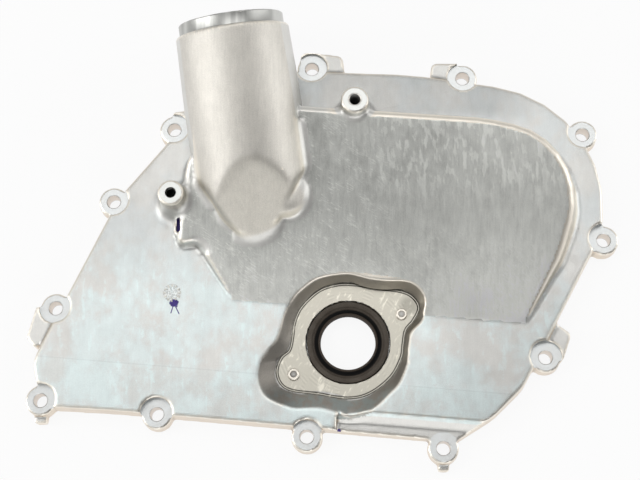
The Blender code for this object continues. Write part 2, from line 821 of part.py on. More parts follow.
def casting(parts, shapes):
    """The die casting, from the plate outwards and then the machined cuts."""
    cover = plate_body("cover_casting", parts)
    lower_band(cover, shapes)
    ear_shapes(cover, shapes)
    panel = helper(loft("panel", panel_rings(inside=False), shapes))
    boolean(cover, panel, "UNION")
    boss_shapes(cover, shapes)
    boolean(cover, neck_body(shapes), "UNION")
    boolean(cover, hollow(shapes), "DIFFERENCE")
    pocket = helper(loft("pocket", pocket_rings(0.0), shapes))
    boolean(cover, pocket, "DIFFERENCE")
    nubs(cover, shapes)
    seal_bore(cover, shapes)
    spot_faces(cover, shapes)
    ear_holes(cover, shapes)
    tapped_holes(cover, shapes)
    slotted_pad(cover, shapes)
    mating_cut(cover, shapes)
    return cover


def nubs(target, collection):
    for name, (x, y, radius) in NUBS.items():
        bottom = POCKET_FLOOR - WALL / 2
        top = POCKET_FLOOR + NUB_HEIGHT
        foot = radius + grow(top - bottom, NUB_DRAFT)
        nub = cone("nub_" + name, (x, y), bottom, top, foot, radius, collection, HOLE_SIDES)
        boolean(target, helper(nub), "UNION")


def seal_bottom():
    return POCKET_FLOOR - SEAL_RECESS - SEAL_WIDTH


def seal_bore(target, collection):
    """The bore that the seal is pressed into, and the smaller hole past its stop."""
    bottom = seal_bottom() - FIT_GAP
    above = POCKET_FLOOR + OVERCUT
    bore = cone("seal_bore", (0, 0), bottom, above, SEAL_RADIUS, SEAL_RADIUS, collection, SEAL_SIDES)
    boolean(target, helper(bore), "DIFFERENCE")
    radius = SEAL_RADIUS - SEAL_STOP_STEP
    stop = cone("seal_stop", (0, 0), -OVERCUT, above, radius, radius, collection, SEAL_SIDES)
    boolean(target, helper(stop), "DIFFERENCE")
    radius = SEAL_RADIUS + HUB_WALL + OVERCUT
    relief = cone("hub_relief", (0, 0), -OVERCUT, HUB_BOTTOM, radius, radius, collection)
    boolean(target, helper(relief), "DIFFERENCE")


def slotted_pad(target, collection):
    """A small pad against the panel's left wall, with a narrow slot in its top."""
    spin = Matrix.Rotation(math.radians(SLOT_ANGLE), 2)
    shapes = []
    for name, rim, bottom, top in (
        ("slot_pad", SLOT_PAD_RIM, PLATE_TOP - WALL / 2, SLOT_PAD_TOP),
        ("slot", 0.0, SLOT_PAD_TOP - SLOT_DEPTH, PLATE_TOP + 2 * OVERCUT),
    ):
        half = SLOT_WIDTH / 2 + rim
        long = SLOT_LENGTH / 2 + rim
        corners = ((-half, -long, half), (half, -long, half), (half, long, half), (-half, long, half))
        outline = rounded_outline(corners, NOSE_CORNER_STEPS)
        points = [spin @ point + Vector(SLOT_CENTRE) for point in outline]
        shapes.append(helper(extruded(name, points, bottom, top, collection)))
    boolean(target, shapes[0], "UNION")
    boolean(target, shapes[1], "DIFFERENCE")


def mating_cut(target, collection):
    """Faces off everything below the mating plane."""
    made = bmesh.new()
    bmesh.ops.create_cube(made, size=1.0)
    bmesh.ops.scale(made, vec=(2 * CUTTER_REACH, 2 * CUTTER_REACH, OVERCUT), verts=made.verts)
    bmesh.ops.translate(made, vec=(0.0, 0.0, -OVERCUT / 2), verts=made.verts)
    cutter = object_from_bmesh("mating_cut", made, collection)
    boolean(target, helper(cutter), "DIFFERENCE")


def turned(name, profile, sides, collection):
    """A ring turned about the seal's axis from a closed profile of radii and heights."""
    made = bmesh.new()
    verts = [made.verts.new((radius, 0.0, height)) for radius, height in profile]
    for index, vert in enumerate(verts):
        made.edges.new((vert, verts[(index + 1) % len(verts)]))
    mesh = bpy.data.meshes.new(name)
    made.to_mesh(mesh)
    made.free()
    obj = bpy.data.objects.new(name, mesh)
    collection.objects.link(obj)
    screw = obj.modifiers.new("turn", "SCREW")
    screw.axis = "Z"
    screw.angle = 2 * math.pi
    screw.steps = sides
    screw.render_steps = sides
    screw.use_merge_vertices = True
    screw.merge_threshold = MERGE_DISTANCE
    return obj


def shaft_seal(parts):
    """A rubber shaft seal: a rim pressed in the bore, a web, a dust lip and a sprung sealing lip."""
    outer = SEAL_RADIUS - FIT_GAP
    bottom = seal_bottom()
    top = bottom + SEAL_WIDTH
    lip = SEAL_RADIUS - SEAL_SECTION
    spring = lip + LIP_TO_SPRING
    spring_level = bottom + SPRING_HEIGHT
    groove = SPRING_WIRE_RADIUS + FIT_GAP
    web_top = top - FRONT_GROOVE_DEPTH
    web_bottom = web_top - WEB_THICKNESS
    profile = [
        (outer - SEAL_CHAMFER, top),
        (outer, top - SEAL_CHAMFER),
        (outer, bottom + SEAL_CHAMFER),
        (outer - SEAL_CHAMFER, bottom),
        (outer - SEAL_RIM + RIM_DRAFT, bottom),
        (outer - SEAL_RIM, web_bottom + RIM_DRAFT),
        (lip + FRONT_GROOVE_INNER, web_bottom),
        (spring + SEAL_CHAMFER, spring_level + groove + SEAL_CHAMFER),
    ]
    for step in range(SPRING_GROOVE_STEPS + 1):
        angle = math.radians(SPRING_GROOVE_START + SPRING_GROOVE_SWEEP * step / SPRING_GROOVE_STEPS)
        profile.append((spring + groove * math.cos(angle), spring_level + groove * math.sin(angle)))
    profile += [
        (lip + DUST_LIP_WIDTH, bottom + LIP_END_HEIGHT),
        (lip, bottom + LIP_EDGE_HEIGHT),
        (lip + WAIST_DEPTH, bottom + WAIST_HEIGHT),
        (lip + DUST_LIP_BACK, top - DUST_LIP_DEPTH - DUST_LIP_THICKNESS),
        (lip + DUST_LIP_WIDTH, top - DUST_LIP_DEPTH),
        (lip + LIP_TO_SPRING - DUST_LIP_WIDTH, web_top),
        (lip + FRONT_GROOVE_INNER, web_top),
        (lip + FRONT_GROOVE_OUTER, top),
    ]
    return turned("shaft_seal", profile, SEAL_SIDES, parts)


def garter_spring(parts):
    """The coil spring ring that closes the sealing lip, as its outer shape."""
    bpy.ops.mesh.primitive_torus_add(
        major_segments=SEAL_SIDES,
        minor_segments=SPRING_SIDES,
        major_radius=SEAL_RADIUS - SEAL_SECTION + LIP_TO_SPRING,
        minor_radius=SPRING_WIRE_RADIUS,
        location=(0.0, 0.0, seal_bottom() + SPRING_HEIGHT),
    )
    spring = bpy.context.object
    spring.name = "garter_spring"
    for collection in list(spring.users_collection):
        collection.objects.unlink(spring)
    parts.objects.link(spring)
    return spring


def place_on_datum(objects, cover):
    """Carries every piece on an empty, so that the part stands over the middle of its own box."""
    bpy.context.view_layer.update()
    graph = bpy.context.evaluated_depsgraph_get()
    corners = [Vector(corner) for corner in cover.evaluated_get(graph).bound_box]
    middle_x = (min(c.x for c in corners) + max(c.x for c in corners)) / 2
    middle_y = (min(c.y for c in corners) + max(c.y for c in corners)) / 2
    datum = bpy.data.objects.new("datum", None)
    bpy.context.scene.collection.objects.link(datum)
    for obj in objects:
        obj.parent = datum
    datum.location = (-middle_x, -middle_y, 0.0)


def main():
    clear_scene()
    parts = new_collection("timing_cover")
    shapes = new_collection("cutters")
    aluminium = material("cast_aluminium", (0.74, 0.73, 0.70), 0.38, 1.0)
    rubber = material("black_rubber", (0.03, 0.03, 0.03), 0.55, 0.0)
    steel = material("spring_steel", (0.55, 0.54, 0.52), 0.30, 1.0)
    cover = casting(parts, shapes)
    seal = shaft_seal(parts)
    spring = garter_spring(parts)
    for obj, finish in ((cover, aluminium), (seal, rubber), (spring, steel)):
        obj.data.materials.append(finish)
    for obj in (seal, spring):
        obj.data.shade_smooth()
        obj.data.set_sharp_from_angle(angle=math.radians(SMOOTH_ANGLE))
    place_on_datum(list(parts.objects) + list(shapes.objects), cover)


main()
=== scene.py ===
"""Looks of a die-cast engine timing cover with an oil filler neck and a crankshaft seal."""

import math
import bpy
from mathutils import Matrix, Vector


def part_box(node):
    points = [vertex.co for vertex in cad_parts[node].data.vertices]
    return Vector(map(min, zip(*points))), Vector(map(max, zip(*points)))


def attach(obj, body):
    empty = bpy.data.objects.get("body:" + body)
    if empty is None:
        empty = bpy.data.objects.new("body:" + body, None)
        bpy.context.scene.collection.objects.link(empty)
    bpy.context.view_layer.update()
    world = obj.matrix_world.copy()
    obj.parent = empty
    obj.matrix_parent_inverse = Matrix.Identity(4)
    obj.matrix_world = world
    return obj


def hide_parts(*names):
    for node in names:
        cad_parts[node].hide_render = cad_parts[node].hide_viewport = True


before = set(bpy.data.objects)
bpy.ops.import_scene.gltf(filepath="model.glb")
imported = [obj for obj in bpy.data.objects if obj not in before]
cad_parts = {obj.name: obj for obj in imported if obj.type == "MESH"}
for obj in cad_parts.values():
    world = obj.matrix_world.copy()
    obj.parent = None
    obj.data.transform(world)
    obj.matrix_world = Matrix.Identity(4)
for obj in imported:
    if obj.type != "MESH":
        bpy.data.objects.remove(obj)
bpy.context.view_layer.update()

import bmesh
import bpy
import numpy as np
from mathutils import Matrix, Vector

# The cover is one die casting in an aluminium-silicon alloy: a flat plate, a sloped panel that
# climbs from a crease across it, and twelve ears for its screws. The die leaves soft edges and a
# skin with flow streaks. Sizes are in mm from the seal's axis and the mating face.
MM = 0.001
seal_low, seal_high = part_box("shaft_seal")
SEAL_AXIS = Vector(((seal_low.x + seal_high.x) / 2, (seal_low.y + seal_high.y) / 2, 0.0))
PLATE_TOP = 14.0
PANEL_RISE = 15.0
CREASE_ANGLE = -4.9
CREASE_POINT = (-59.9, 20.6)


def new_piece(name, mesh):
    piece = bpy.data.objects.new(name, mesh)
    bpy.context.scene.collection.objects.link(piece)
    return piece


def finished_mesh(piece):
    """The mesh of a piece with its modifiers worked out."""
    graph = bpy.context.evaluated_depsgraph_get()
    return bpy.data.meshes.new_from_object(piece.evaluated_get(graph))


def mesh_from(made, name):
    bmesh.ops.recalc_face_normals(made, faces=made.faces)
    mesh = bpy.data.meshes.new(name)
    made.to_mesh(mesh)
    made.free()
    return mesh


def panel_uphill():
    """The direction across the cover in which the sloped panel climbs from its crease."""
    crease = math.radians(CREASE_ANGLE)
    return -math.sin(crease), math.cos(crease)


# The seal's pocket is cast with leaning walls. Their rim and foot follow long sweeping arcs, given
# as points, and the plainer outlines of the solids are given by corners: x, y and radius. LOW_SIDE
# and HIGH_SIDE each start with a direction and a spread in radians round the seal's axis.
POCKET_RIM = (
    (41.3, 10.5, 4.3), (38.8, 29.6, 14.7), (-6.0, 35.2, 24.7), (-31.9, 19.4, 21.7),
    (-39.3, -4.6, 8.5), (-46.8, -13.0, 8.3), (-43.2, -27.3, 11.2), (-27.4, -35.6, 12.1),
    (9.9, -39.6, 17.1), (29.1, -18.5, 30.8), (32.1, 2.1, 6.0),
)
POCKET_FLOOR_EDGE = (
    (36.1, 14.0, 4.2), (33.2, 23.2, 10.6), (-6.9, 29.3, 17.6), (-25.9, 13.8, 24.5),
    (-27.9, -4.2, 5.4), (-35.5, -10.8, 3.8), (-33.4, -19.4, 8.5), (-23.0, -24.6, 9.2),
    (6.1, -28.2, 14.3), (24.0, -14.3, 11.4), (27.6, 5.0, 6.0),
)
POCKET_SWEEP = (
    (-45.6, -22.4), (-41.6, -29.4), (-32.6, -34.3), (-16.4, -36.3), (-0.1, -38.0), (13.7, -33.6),
    (24.1, -24.2), (29.2, -13.7), (30.8, -4.2), (33.4, 3.9), (38.5, 10.0), (40.1, 19.7),
    (36.7, 26.5), (30.2, 30.0), (16.2, 31.9), (1.2, 33.9), (-9.8, 33.1), (-19.9, 29.0),
    (-29.5, 19.0), (-34.9, 6.3), (-37.4, -0.8), (-41.8, -5.9), (-45.7, -15.9),
)
FLOOR_SWEEP = (
    (-33.5, -20.6), (-28.0, -24.1), (-15.0, -25.9), (-0.6, -28.1), (10.3, -25.8), (20.8, -17.8),
    (26.2, -8.2), (27.3, -1.6), (28.7, 6.0), (32.7, 11.1), (35.5, 17.3), (32.9, 22.4),
    (27.4, 25.4), (16.3, 27.2), (1.2, 29.4), (-7.5, 28.7), (-15.1, 25.6), (-23.1, 17.8),
    (-26.6, 9.9), (-27.6, 2.2), (-29.1, -4.2), (-33.1, -8.0), (-35.3, -14.5),
)
ARC_STEP = 6.0
ARC_SHARE = 0.96
SWEEP_STEPS = 6
POCKET_HUB = 23.0
POCKET_TOE = 0.8
POCKET_MARGIN = 5.0
POCKET_SPOKES = 180
SPOKE_BLUR = 2
SPOKE_REACH = 0.07
WALL_NORMAL = 0.94
WALL_BAND = (-2.0, 2.5)
WALL_BROW = 95
LOW_SIDE = (-1.62, 0.75, 3.0)
HIGH_SIDE = (0.95, 0.35, 0.6)


def rounded_outline(corners):
    """Points in mm round a closed outline whose corners are arcs: x, y and radius."""
    points = []
    count = len(corners)
    sides = [Vector(corners[(i + 1) % count][:2]) - Vector(corners[i][:2]) for i in range(count)]
    turns = [math.atan2(sides[i - 1].cross(sides[i]), sides[i - 1].dot(sides[i])) for i in range(count)]
    tangents = [corner[2] * math.tan(abs(turn) / 2) for corner, turn in zip(corners, turns)]
    for index, (corner, turn) in enumerate(zip(corners, turns)):
        arriving = sides[index - 1].normalized()
        before = sides[index - 1].length / (tangents[index - 1] + tangents[index])
        after = sides[index].length / (tangents[index] + tangents[(index + 1) % count])
        tangent = tangents[index] * min(1.0, ARC_SHARE * before, ARC_SHARE * after)
        radius = math.copysign(tangent / math.tan(abs(turn) / 2), turn)
        start = Vector(corner[:2]) - arriving * tangent
        centre = start + Vector((-arriving.y, arriving.x)) * radius
        steps = max(2, math.ceil(abs(math.degrees(turn)) / ARC_STEP))
        for step in range(steps + 1):
            points.append(centre + Matrix.Rotation(turn * step / steps, 2) @ (start - centre))
    return points


def sweeping_curve(points):
    """A smooth closed curve through points in mm."""
    curve = []
    count = len(points)
    for index in range(count):
        before, here, after, beyond = (Vector(points[(index + step) % count]) for step in (-1, 0, 1, 2))
        for step in range(SWEEP_STEPS):
            share = step / SWEEP_STEPS
            bend = (before * 2 - here * 5 + after * 4 - beyond) * share**2
            bend += (here * 3 - before - after * 3 + beyond) * share**3
            curve.append((here * 2 + (after - before) * share + bend) / 2)
    return curve


def reach_towards(turns, outline):
    """How far in mm an outline round the seal's axis lies from it in each direction."""
    points = np.array([tuple(point) for point in outline])
    angles = np.arctan2(points[:, 1], points[:, 0])
    return np.interp(turns, angles, np.hypot(points[:, 0], points[:, 1]), period=2 * math.pi)


def wall_brow(turn, away, walled):
    """Where the pocket's wall ends at its rim, in each direction from the seal's axis.

    Below the seal it is the drawn outline, less what the lower ground takes from the wall, and
    above the seal it is measured on the wall itself.
    """
    spokes = np.linspace(-math.pi, math.pi, POCKET_SPOKES, endpoint=False)
    drawn = reach_towards(spokes, rounded_outline(POCKET_RIM))
    rolled = [np.roll(drawn, step) for step in range(-SPOKE_BLUR, SPOKE_BLUR + 1)]
    middle, spread, depth = LOW_SIDE
    drawn = sum(rolled) / len(rolled) - depth * np.clip(1 - np.abs(spokes - middle) / spread, 0.0, 1.0)
    middle, spread, share = HIGH_SIDE
    brow = []
    for spoke, plain in zip(spokes, drawn):
        beside = np.abs((turn - spoke + math.pi) % (2 * math.pi) - math.pi) < SPOKE_REACH
        found = away[walled & beside]
        measured = np.percentile(found, WALL_BROW) if len(found) > 3 else plain
        trust = min(1.0, max(0.0, (middle - abs(spoke - middle)) / spread + share))
        brow.append(plain + (measured - plain) * trust)
    return np.interp(turn, spokes, brow, period=2 * math.pi)


def sweep_pocket(mesh):
    """Draws the pocket's walls out to the long sweeping arcs of its rim and its floor."""
    flat = np.empty(len(mesh.vertices) * 3)
    mesh.vertices.foreach_get("co", flat)
    places = flat.reshape(-1, 3)
    normals = np.empty(len(mesh.vertices) * 3)
    mesh.vertex_normals.foreach_get("vector", normals)
    upward = normals.reshape(-1, 3)[:, 2]
    across = places[:, :2] / MM - np.array(tuple(SEAL_AXIS))[:2] / MM
    turn = np.arctan2(across[:, 1], across[:, 0])
    away = np.hypot(across[:, 0], across[:, 1])
    floor = reach_towards(turn, rounded_outline(POCKET_FLOOR_EDGE))
    rim = reach_towards(turn, rounded_outline(POCKET_RIM))
    new_floor = reach_towards(turn, sweeping_curve(FLOOR_SWEEP))
    new_rim = reach_towards(turn, sweeping_curve(POCKET_SWEEP))
    walled = (away > floor + WALL_BAND[0]) & (away < rim + WALL_BAND[1]) & (upward < WALL_NORMAL)
    brow = wall_brow(turn, away, walled)

    # Hub, foot, rim and margin each move to a new distance, and what lies between moves in step.
    hub = np.full(len(away), POCKET_HUB)
    outer = np.maximum(brow, new_rim) + POCKET_MARGIN
    old = (hub, floor + POCKET_TOE, brow, outer)
    new = (hub, new_floor + POCKET_TOE, new_rim, outer)
    moved = away.copy()
    for start, end, new_start, new_end in zip(old, old[1:], new, new[1:]):
        inside = (away >= start) & (away < end)
        share = (away - start) / (end - start)
        moved = np.where(inside, new_start + share * (new_end - new_start), moved)
    shift = across * (moved / np.maximum(away, 1.0) - 1.0)[:, None] * (away > 1.0)[:, None]

    # The rim climbs with the sloped panel as it moves.
    uphill = np.array(panel_uphill())
    before = np.maximum((across - np.array(CREASE_POINT)) @ uphill, 0.0)
    after = np.maximum((across + shift - np.array(CREASE_POINT)) @ uphill, 0.0)
    raised = np.clip((away - old[1]) / (old[2] - old[1]), 0.0, 1.0)
    places[:, 2] += (after - before) * raised * math.tan(math.radians(PANEL_RISE)) * MM
    places[:, :2] += shift * MM
    mesh.vertices.foreach_set("co", places.ravel())
    mesh.update()


# Two bosses stand on rounded feet, and the oil filler neck runs down into a slanted nose with a
# round swelling beside it. Where they meet the panel the metal flows together.
BOSSES = ((-88.0, 71.1, 34.94, 6.6), (4.2, 116.0, 44.44, 7.0))
BOSS_FACE_ROOM = 4.0
BOSS_FOOT = 12.5
BOSS_FOOT_FADE = 3.0
BOSS_TOP_FADE = 5.0
NECK_THROAT = (-53.2, 121.6, 29.5)
NECK_RISE = 15.0
NECK_LEAN = 8.3
NECK_SHOULDER = 35.3
NECK_END = -75.0
NECK_UNDERSIDE = -26.0
NECK_OUTSIDE = (15.0, 36.0)
NECK_THROAT_RADIUS = 29.9
NECK_TAPER = 0.02825
NECK_HOLD = (0.15, 0.25)
FACET_RISE = 38.0
FACET_TIP = (-45.9, 48.3, 22.7)
BLEND_REACH = 12.0
BLEND_FULL = 1.5
BLEND_ROUNDS = 110
NOSE_REGION = (-77.0, -12.0, 44.0, 108.0)
NOSE_FOOT = 12.0
NOSE_FOOT_FADE = 3.5
NOSE_FOOT_START = -1.5
SWELLING = (-32.0, 73.0)
SWELLING_REACH = 15.5
SWELLING_LEFT = -36.0
SWELLING_SHARE = 0.25
SKIN_GRAIN = 0.8 * MM
SKIN_SOFTENING = 3
SKIN_TRIANGLES = 176000


def neck_direction():
    rise, lean = math.radians(NECK_RISE), math.radians(NECK_LEAN)
    return Vector((-math.sin(lean) * math.cos(rise), math.cos(lean) * math.cos(rise), math.sin(rise)))


def foot_weight(spot):
    """How much the metal at the foot of a boss or of the nose melts together, from 0 to 1."""
    weight = 0.0
    for x, y, top, _ in BOSSES:
        away = (Vector(spot[:2]) - Vector((x, y))).length
        under = top - BOSS_FACE_ROOM
        if away < BOSS_FOOT and PLATE_TOP - 2.0 < spot.z < under:
            weight = min(1.0, (BOSS_FOOT - away) / BOSS_FOOT_FADE, (under - spot.z) / BOSS_TOP_FADE)
    left, right, low, high = NOSE_REGION
    if left < spot.x < right and low < spot.y < high:
        climb = (Vector(spot[:2]) - Vector(CREASE_POINT)).dot(Vector(panel_uphill()))
        rise = spot.z - PLATE_TOP - climb * math.tan(math.radians(PANEL_RISE))
        soft = min(1.0, (NOSE_FOOT - rise) / NOSE_FOOT_FADE, rise - NOSE_FOOT_START)
        from_swelling = (Vector(spot[:2]) - Vector(SWELLING)).length
        beside_swelling = from_swelling < SWELLING_REACH and spot.x > SWELLING_LEFT
        if soft > 0.0:
            weight = soft * (SWELLING_SHARE if beside_swelling else 1.0)
    return weight


def round_neck(mesh):
    """Turns the neck's flats into a true taper, and weighs the points where its nose blends in."""
    along = neck_direction()
    throat = SEAL_AXIS + Vector(NECK_THROAT) * MM
    uphill = Vector((along.x, along.y)).normalized()
    slope = math.tan(math.radians(FACET_RISE))
    nearest, farthest = NECK_OUTSIDE
    weights = {}
    for vert in mesh.vertices:
        weight = foot_weight((vert.co - SEAL_AXIS) / MM)
        if weight > 0.0:
            weights[vert.index] = weight
        place = (vert.co - throat) / MM
        station = place.dot(along)
        out = place - along * station
        away = out.length
        on_neck = NECK_END < station < NECK_SHOULDER and nearest < away < farthest
        if not on_neck or place.z < NECK_UNDERSIDE:
            continue
        ideal = NECK_THROAT_RADIUS - NECK_TAPER * max(0.0, station)
        miss = ideal - away
        hold = 1 - min(1.0, max(0.0, (abs(miss) - NECK_HOLD[0]) / NECK_HOLD[1]))
        vert.co += out.normalized() * miss * hold * MM
        flat = (vert.co - SEAL_AXIS) / MM
        climbed = (Vector(flat[:2]) - Vector(FACET_TIP[:2])).dot(uphill)
        over = FACET_TIP[2] + climbed * slope - flat.z
        close = 1 - max(abs(over), abs(miss)) / BLEND_REACH
        if close > 0 and station < 0:
            weights[vert.index] = min(1.0, close * BLEND_FULL)
    return weights


def soft_casting():
    """The casting with a die casting's soft edges: remeshed, smoothed and thinned where flat."""
    merged = bmesh.new()
    merged.from_mesh(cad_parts["cover_casting"].data)
    bmesh.ops.remove_doubles(merged, verts=merged.verts, dist=0.001 * MM)
    mesh = bpy.data.meshes.new("cover_skin")
    merged.to_mesh(mesh)
    merged.free()
    mesh.materials.clear()
    draft = new_piece("cover_draft", mesh)
    grain = draft.modifiers.new("grain", "REMESH")
    grain.mode = "VOXEL"
    grain.voxel_size = SKIN_GRAIN
    soften = draft.modifiers.new("soften", "SMOOTH")
    soften.factor = 0.5
    soften.iterations = SKIN_SOFTENING
    dense = finished_mesh(draft)
    draft.modifiers.clear()
    sweep_pocket(dense)
    draft.data = dense
    blend = draft.vertex_groups.new(name="nose_blend")
    for index, weight in round_neck(dense).items():
        blend.add([index], weight, "REPLACE")
    melt = draft.modifiers.new("melt", "SMOOTH")
    melt.factor = 0.5
    melt.iterations = BLEND_ROUNDS
    melt.vertex_group = "nose_blend"
    thin = draft.modifiers.new("thin", "DECIMATE")
    thin.ratio = min(1.0, SKIN_TRIANGLES / (2 * len(dense.polygons)))
    skin = finished_mesh(draft)
    bpy.data.objects.remove(draft, do_unlink=True)
    return skin


# Machining comes after casting: the mating face, the ears' spot faces and holes, the boss faces
# and their threads, the seal's bore, the pocket's floor with its double groove, and the spigot at
# the neck's end. A cut is given by its profile: radius or step outwards, and height.
TURNED_SIDES = 72
SMALL_SIDES = 40
LARGE_SIDES = 128
CUT_BELOW = -3.0
CUT_ABOVE = PLATE_TOP + 9.0
EARS = (
    (-147.9, 18.0), (-153.5, -29.0), (-95.1, -36.1), (-20.6, -47.5), (46.7, -53.4), (98.4, -8.4),
    (130.1, 51.7), (121.9, 108.4), (60.6, 139.9), (-18.3, 145.9), (-90.0, 112.8), (-120.4, 73.9),
)
EAR_TOP = 9.42
EAR_RADIUS = 7.95
EAR_HOLE = 3.42
EAR_CHAMFER = 0.35
EAR_PLUG = ((0.0, 0.03), (5.6, 0.03), (5.6, 9.48), (0.0, 9.48))
BOSS_FACE_MARGIN = 1.2
THREAD_CORE = 2.3
THREAD_CREST = 2.7
THREAD_PITCH = 1.0
THREAD_TURNS = 12
THREAD_FLANK = 0.45
DRILL_POINT = 1.4
DRILL_RUN_OUT = 1.5
SPIGOT_CUT = (
    (0.0, 33.0), (24.05, 33.0), (24.05, 40.55), (25.0, 41.5), (26.1, 41.5), (26.75, 40.85),
    (26.75, 36.0), (26.9, 35.5), (27.4, 35.3), (33.0, 35.3), (33.0, 46.0), (0.0, 46.0),
)
SEAL_BORE_CUT = (
    (0.0, -3.0), (18.5, -3.0), (18.5, 1.2), (21.02, 1.2),
    (21.02, 8.3), (21.5, 8.85), (21.5, 12.0), (0.0, 12.0),
)
FLOOR_CUT = (
    (-0.62, 8.72), (-0.55, 8.3), (-0.08, 8.3), (0.0, 8.66), (0.36, 8.66),
    (0.44, 8.3), (0.86, 8.3), (0.95, 9.2), (1.15, 10.6),
)
NUBS = ((-27.2, -16.4, 2.95), (27.0, 14.0, 2.8))
NUB_SIDE = ((0.15, 8.0), (0.1, 8.75), (0.0, 9.85), (-0.35, 10.18))
NUB_DIMPLE = ((1.75, 10.18), (1.6, 9.9), (0.0, 9.9))
SLOT_PLACE = (-85.3, 58.2)
SLOT_LENGTH = 7.0
SLOT_WIDTH = 2.3
SLOT_TURN = 3.0
SLOT_CORNER = 0.35
SLOT_FLOOR = 17.8
SLOT_CUT = ((-0.2, SLOT_FLOOR), (0.0, 24.0))
FACING_DEPTH = 0.08
FACING_MARGIN = 10.0
FACING_THICKNESS = 10.0
SKIN_EDGE_ANGLE = 34.0


def upright(x, y):
    """The place of an axis that points outwards from the engine, by its place from the seal."""
    return Matrix.Translation(SEAL_AXIS + Vector((x, y, 0.0)) * MM)


def turned_body(made, profile, place, sides=TURNED_SIDES, closed=False):
    """Adds a body turned about an axis to a mesh, from radii and heights in mm."""
    rows = []
    for radius, height in profile:
        if radius == 0.0:
            rows.append([made.verts.new(place @ Vector((0.0, 0.0, height * MM)))])
            continue
        row = []
        for side in range(sides):
            angle = 2 * math.pi * side / sides
            spot = Vector((math.cos(angle) * radius, math.sin(angle) * radius, height)) * MM
            row.append(made.verts.new(place @ spot))
        rows.append(row)
    following = rows[1:] + rows[:1] if closed else rows[1:]
    for lower, upper in zip(rows, following):
        for side in range(sides):
            after = (side + 1) % sides
            ring = [lower[side % len(lower)], lower[after % len(lower)]]
            ring += [upper[after % len(upper)], upper[side % len(upper)]]
            made.faces.new(list(dict.fromkeys(ring)))


def tapped_profile(top, radius):
    """A tapped hole from its drilled point up through its thread and the boss's machined face."""
    bottom = top - THREAD_TURNS * THREAD_PITCH - DRILL_RUN_OUT
    profile = [(0.0, bottom - DRILL_POINT), (THREAD_CORE, bottom), (THREAD_CORE, bottom + DRILL_POINT)]
    for turn in range(THREAD_TURNS):
        root = bottom + DRILL_RUN_OUT + turn * THREAD_PITCH
        profile += [(THREAD_CORE, root), (THREAD_CREST, root + THREAD_PITCH * THREAD_FLANK)]
    edge = radius + BOSS_FACE_MARGIN
    above = top + BOSS_FACE_ROOM
    profile += [(THREAD_CREST + 0.1, top), (edge, top), (edge, above), (0.0, above)]
    return profile


def machining_cutters():
    """What the machine takes off: spot faces and holes, boss faces, the seal's bore, the spigot."""
    made = bmesh.new()
    ear = [(0.0, CUT_BELOW), (EAR_HOLE, CUT_BELOW)]
    ear += [(EAR_HOLE, EAR_TOP - EAR_CHAMFER), (EAR_HOLE + EAR_CHAMFER, EAR_TOP)]
    ear += [(EAR_RADIUS, EAR_TOP), (EAR_RADIUS, CUT_ABOVE), (0.0, CUT_ABOVE)]
    for x, y in EARS:
        turned_body(made, ear, upright(x, y))
    for x, y, top, radius in BOSSES:
        turned_body(made, tapped_profile(top, radius), upright(x, y), SMALL_SIDES)
    turned_body(made, SEAL_BORE_CUT, upright(0.0, 0.0), LARGE_SIDES)
    turn = neck_direction().to_track_quat("Z", "X").to_matrix().to_4x4()
    throat = Matrix.Translation(SEAL_AXIS + Vector(NECK_THROAT) * MM)
    turned_body(made, SPIGOT_CUT, throat @ turn, LARGE_SIDES)
    return mesh_from(made, "machining_cutters")


def outside_of(points):
    """Unit normals in the plane that point out of a counterclockwise outline."""
    normals = []
    for index in range(len(points)):
        run = (points[(index + 1) % len(points)] - points[index - 1]).normalized()
        normals.append(Vector((run.y, -run.x)))
    return normals


def prism_cutter(name, outline, profile):
    """A closed body whose outline grows and rises by a profile of steps across and heights."""
    made = bmesh.new()
    rings = []
    for across, height in profile:
        ring = []
        for point, out in zip(outline, outside_of(outline)):
            flat = point + out * across
            ring.append(made.verts.new(SEAL_AXIS + Vector((flat.x, flat.y, height)) * MM))
        rings.append(ring)
    for ring, other in zip(rings, rings[1:]):
        for spot in range(len(ring)):
            after = (spot + 1) % len(ring)
            made.faces.new((ring[spot], ring[after], other[after], other[spot]))
    made.faces.new(rings[0])
    made.faces.new(rings[-1])
    return mesh_from(made, name)


def slot_cutter():
    """The slot in the small pad beside the left boss."""
    turn = Matrix.Rotation(math.radians(SLOT_TURN), 2)
    corners = []
    for side_x, side_y in ((-1, -1), (1, -1), (1, 1), (-1, 1)):
        spot = turn @ Vector((side_x * SLOT_WIDTH / 2, side_y * SLOT_LENGTH / 2)) + Vector(SLOT_PLACE)
        corners.append((spot.x, spot.y, SLOT_WIDTH * SLOT_CORNER))
    return prism_cutter("slot_cutter", rounded_outline(corners), SLOT_CUT)


def ear_plugs():
    """Solid metal in the ears where the drill will make a crisp hole."""
    made = bmesh.new()
    for x, y in EARS:
        turned_body(made, EAR_PLUG, upright(x, y), SMALL_SIDES)
    return mesh_from(made, "ear_plugs")


def pocket_nubs():
    """The two round ejector nubs on the pocket's floor."""
    made = bmesh.new()
    for x, y, radius in NUBS:
        side = [(radius + wider, height) for wider, height in NUB_SIDE]
        turned_body(made, [(0.0, side[0][1]), *side, *NUB_DIMPLE], upright(x, y), SMALL_SIDES)
    return mesh_from(made, "pocket_nubs")


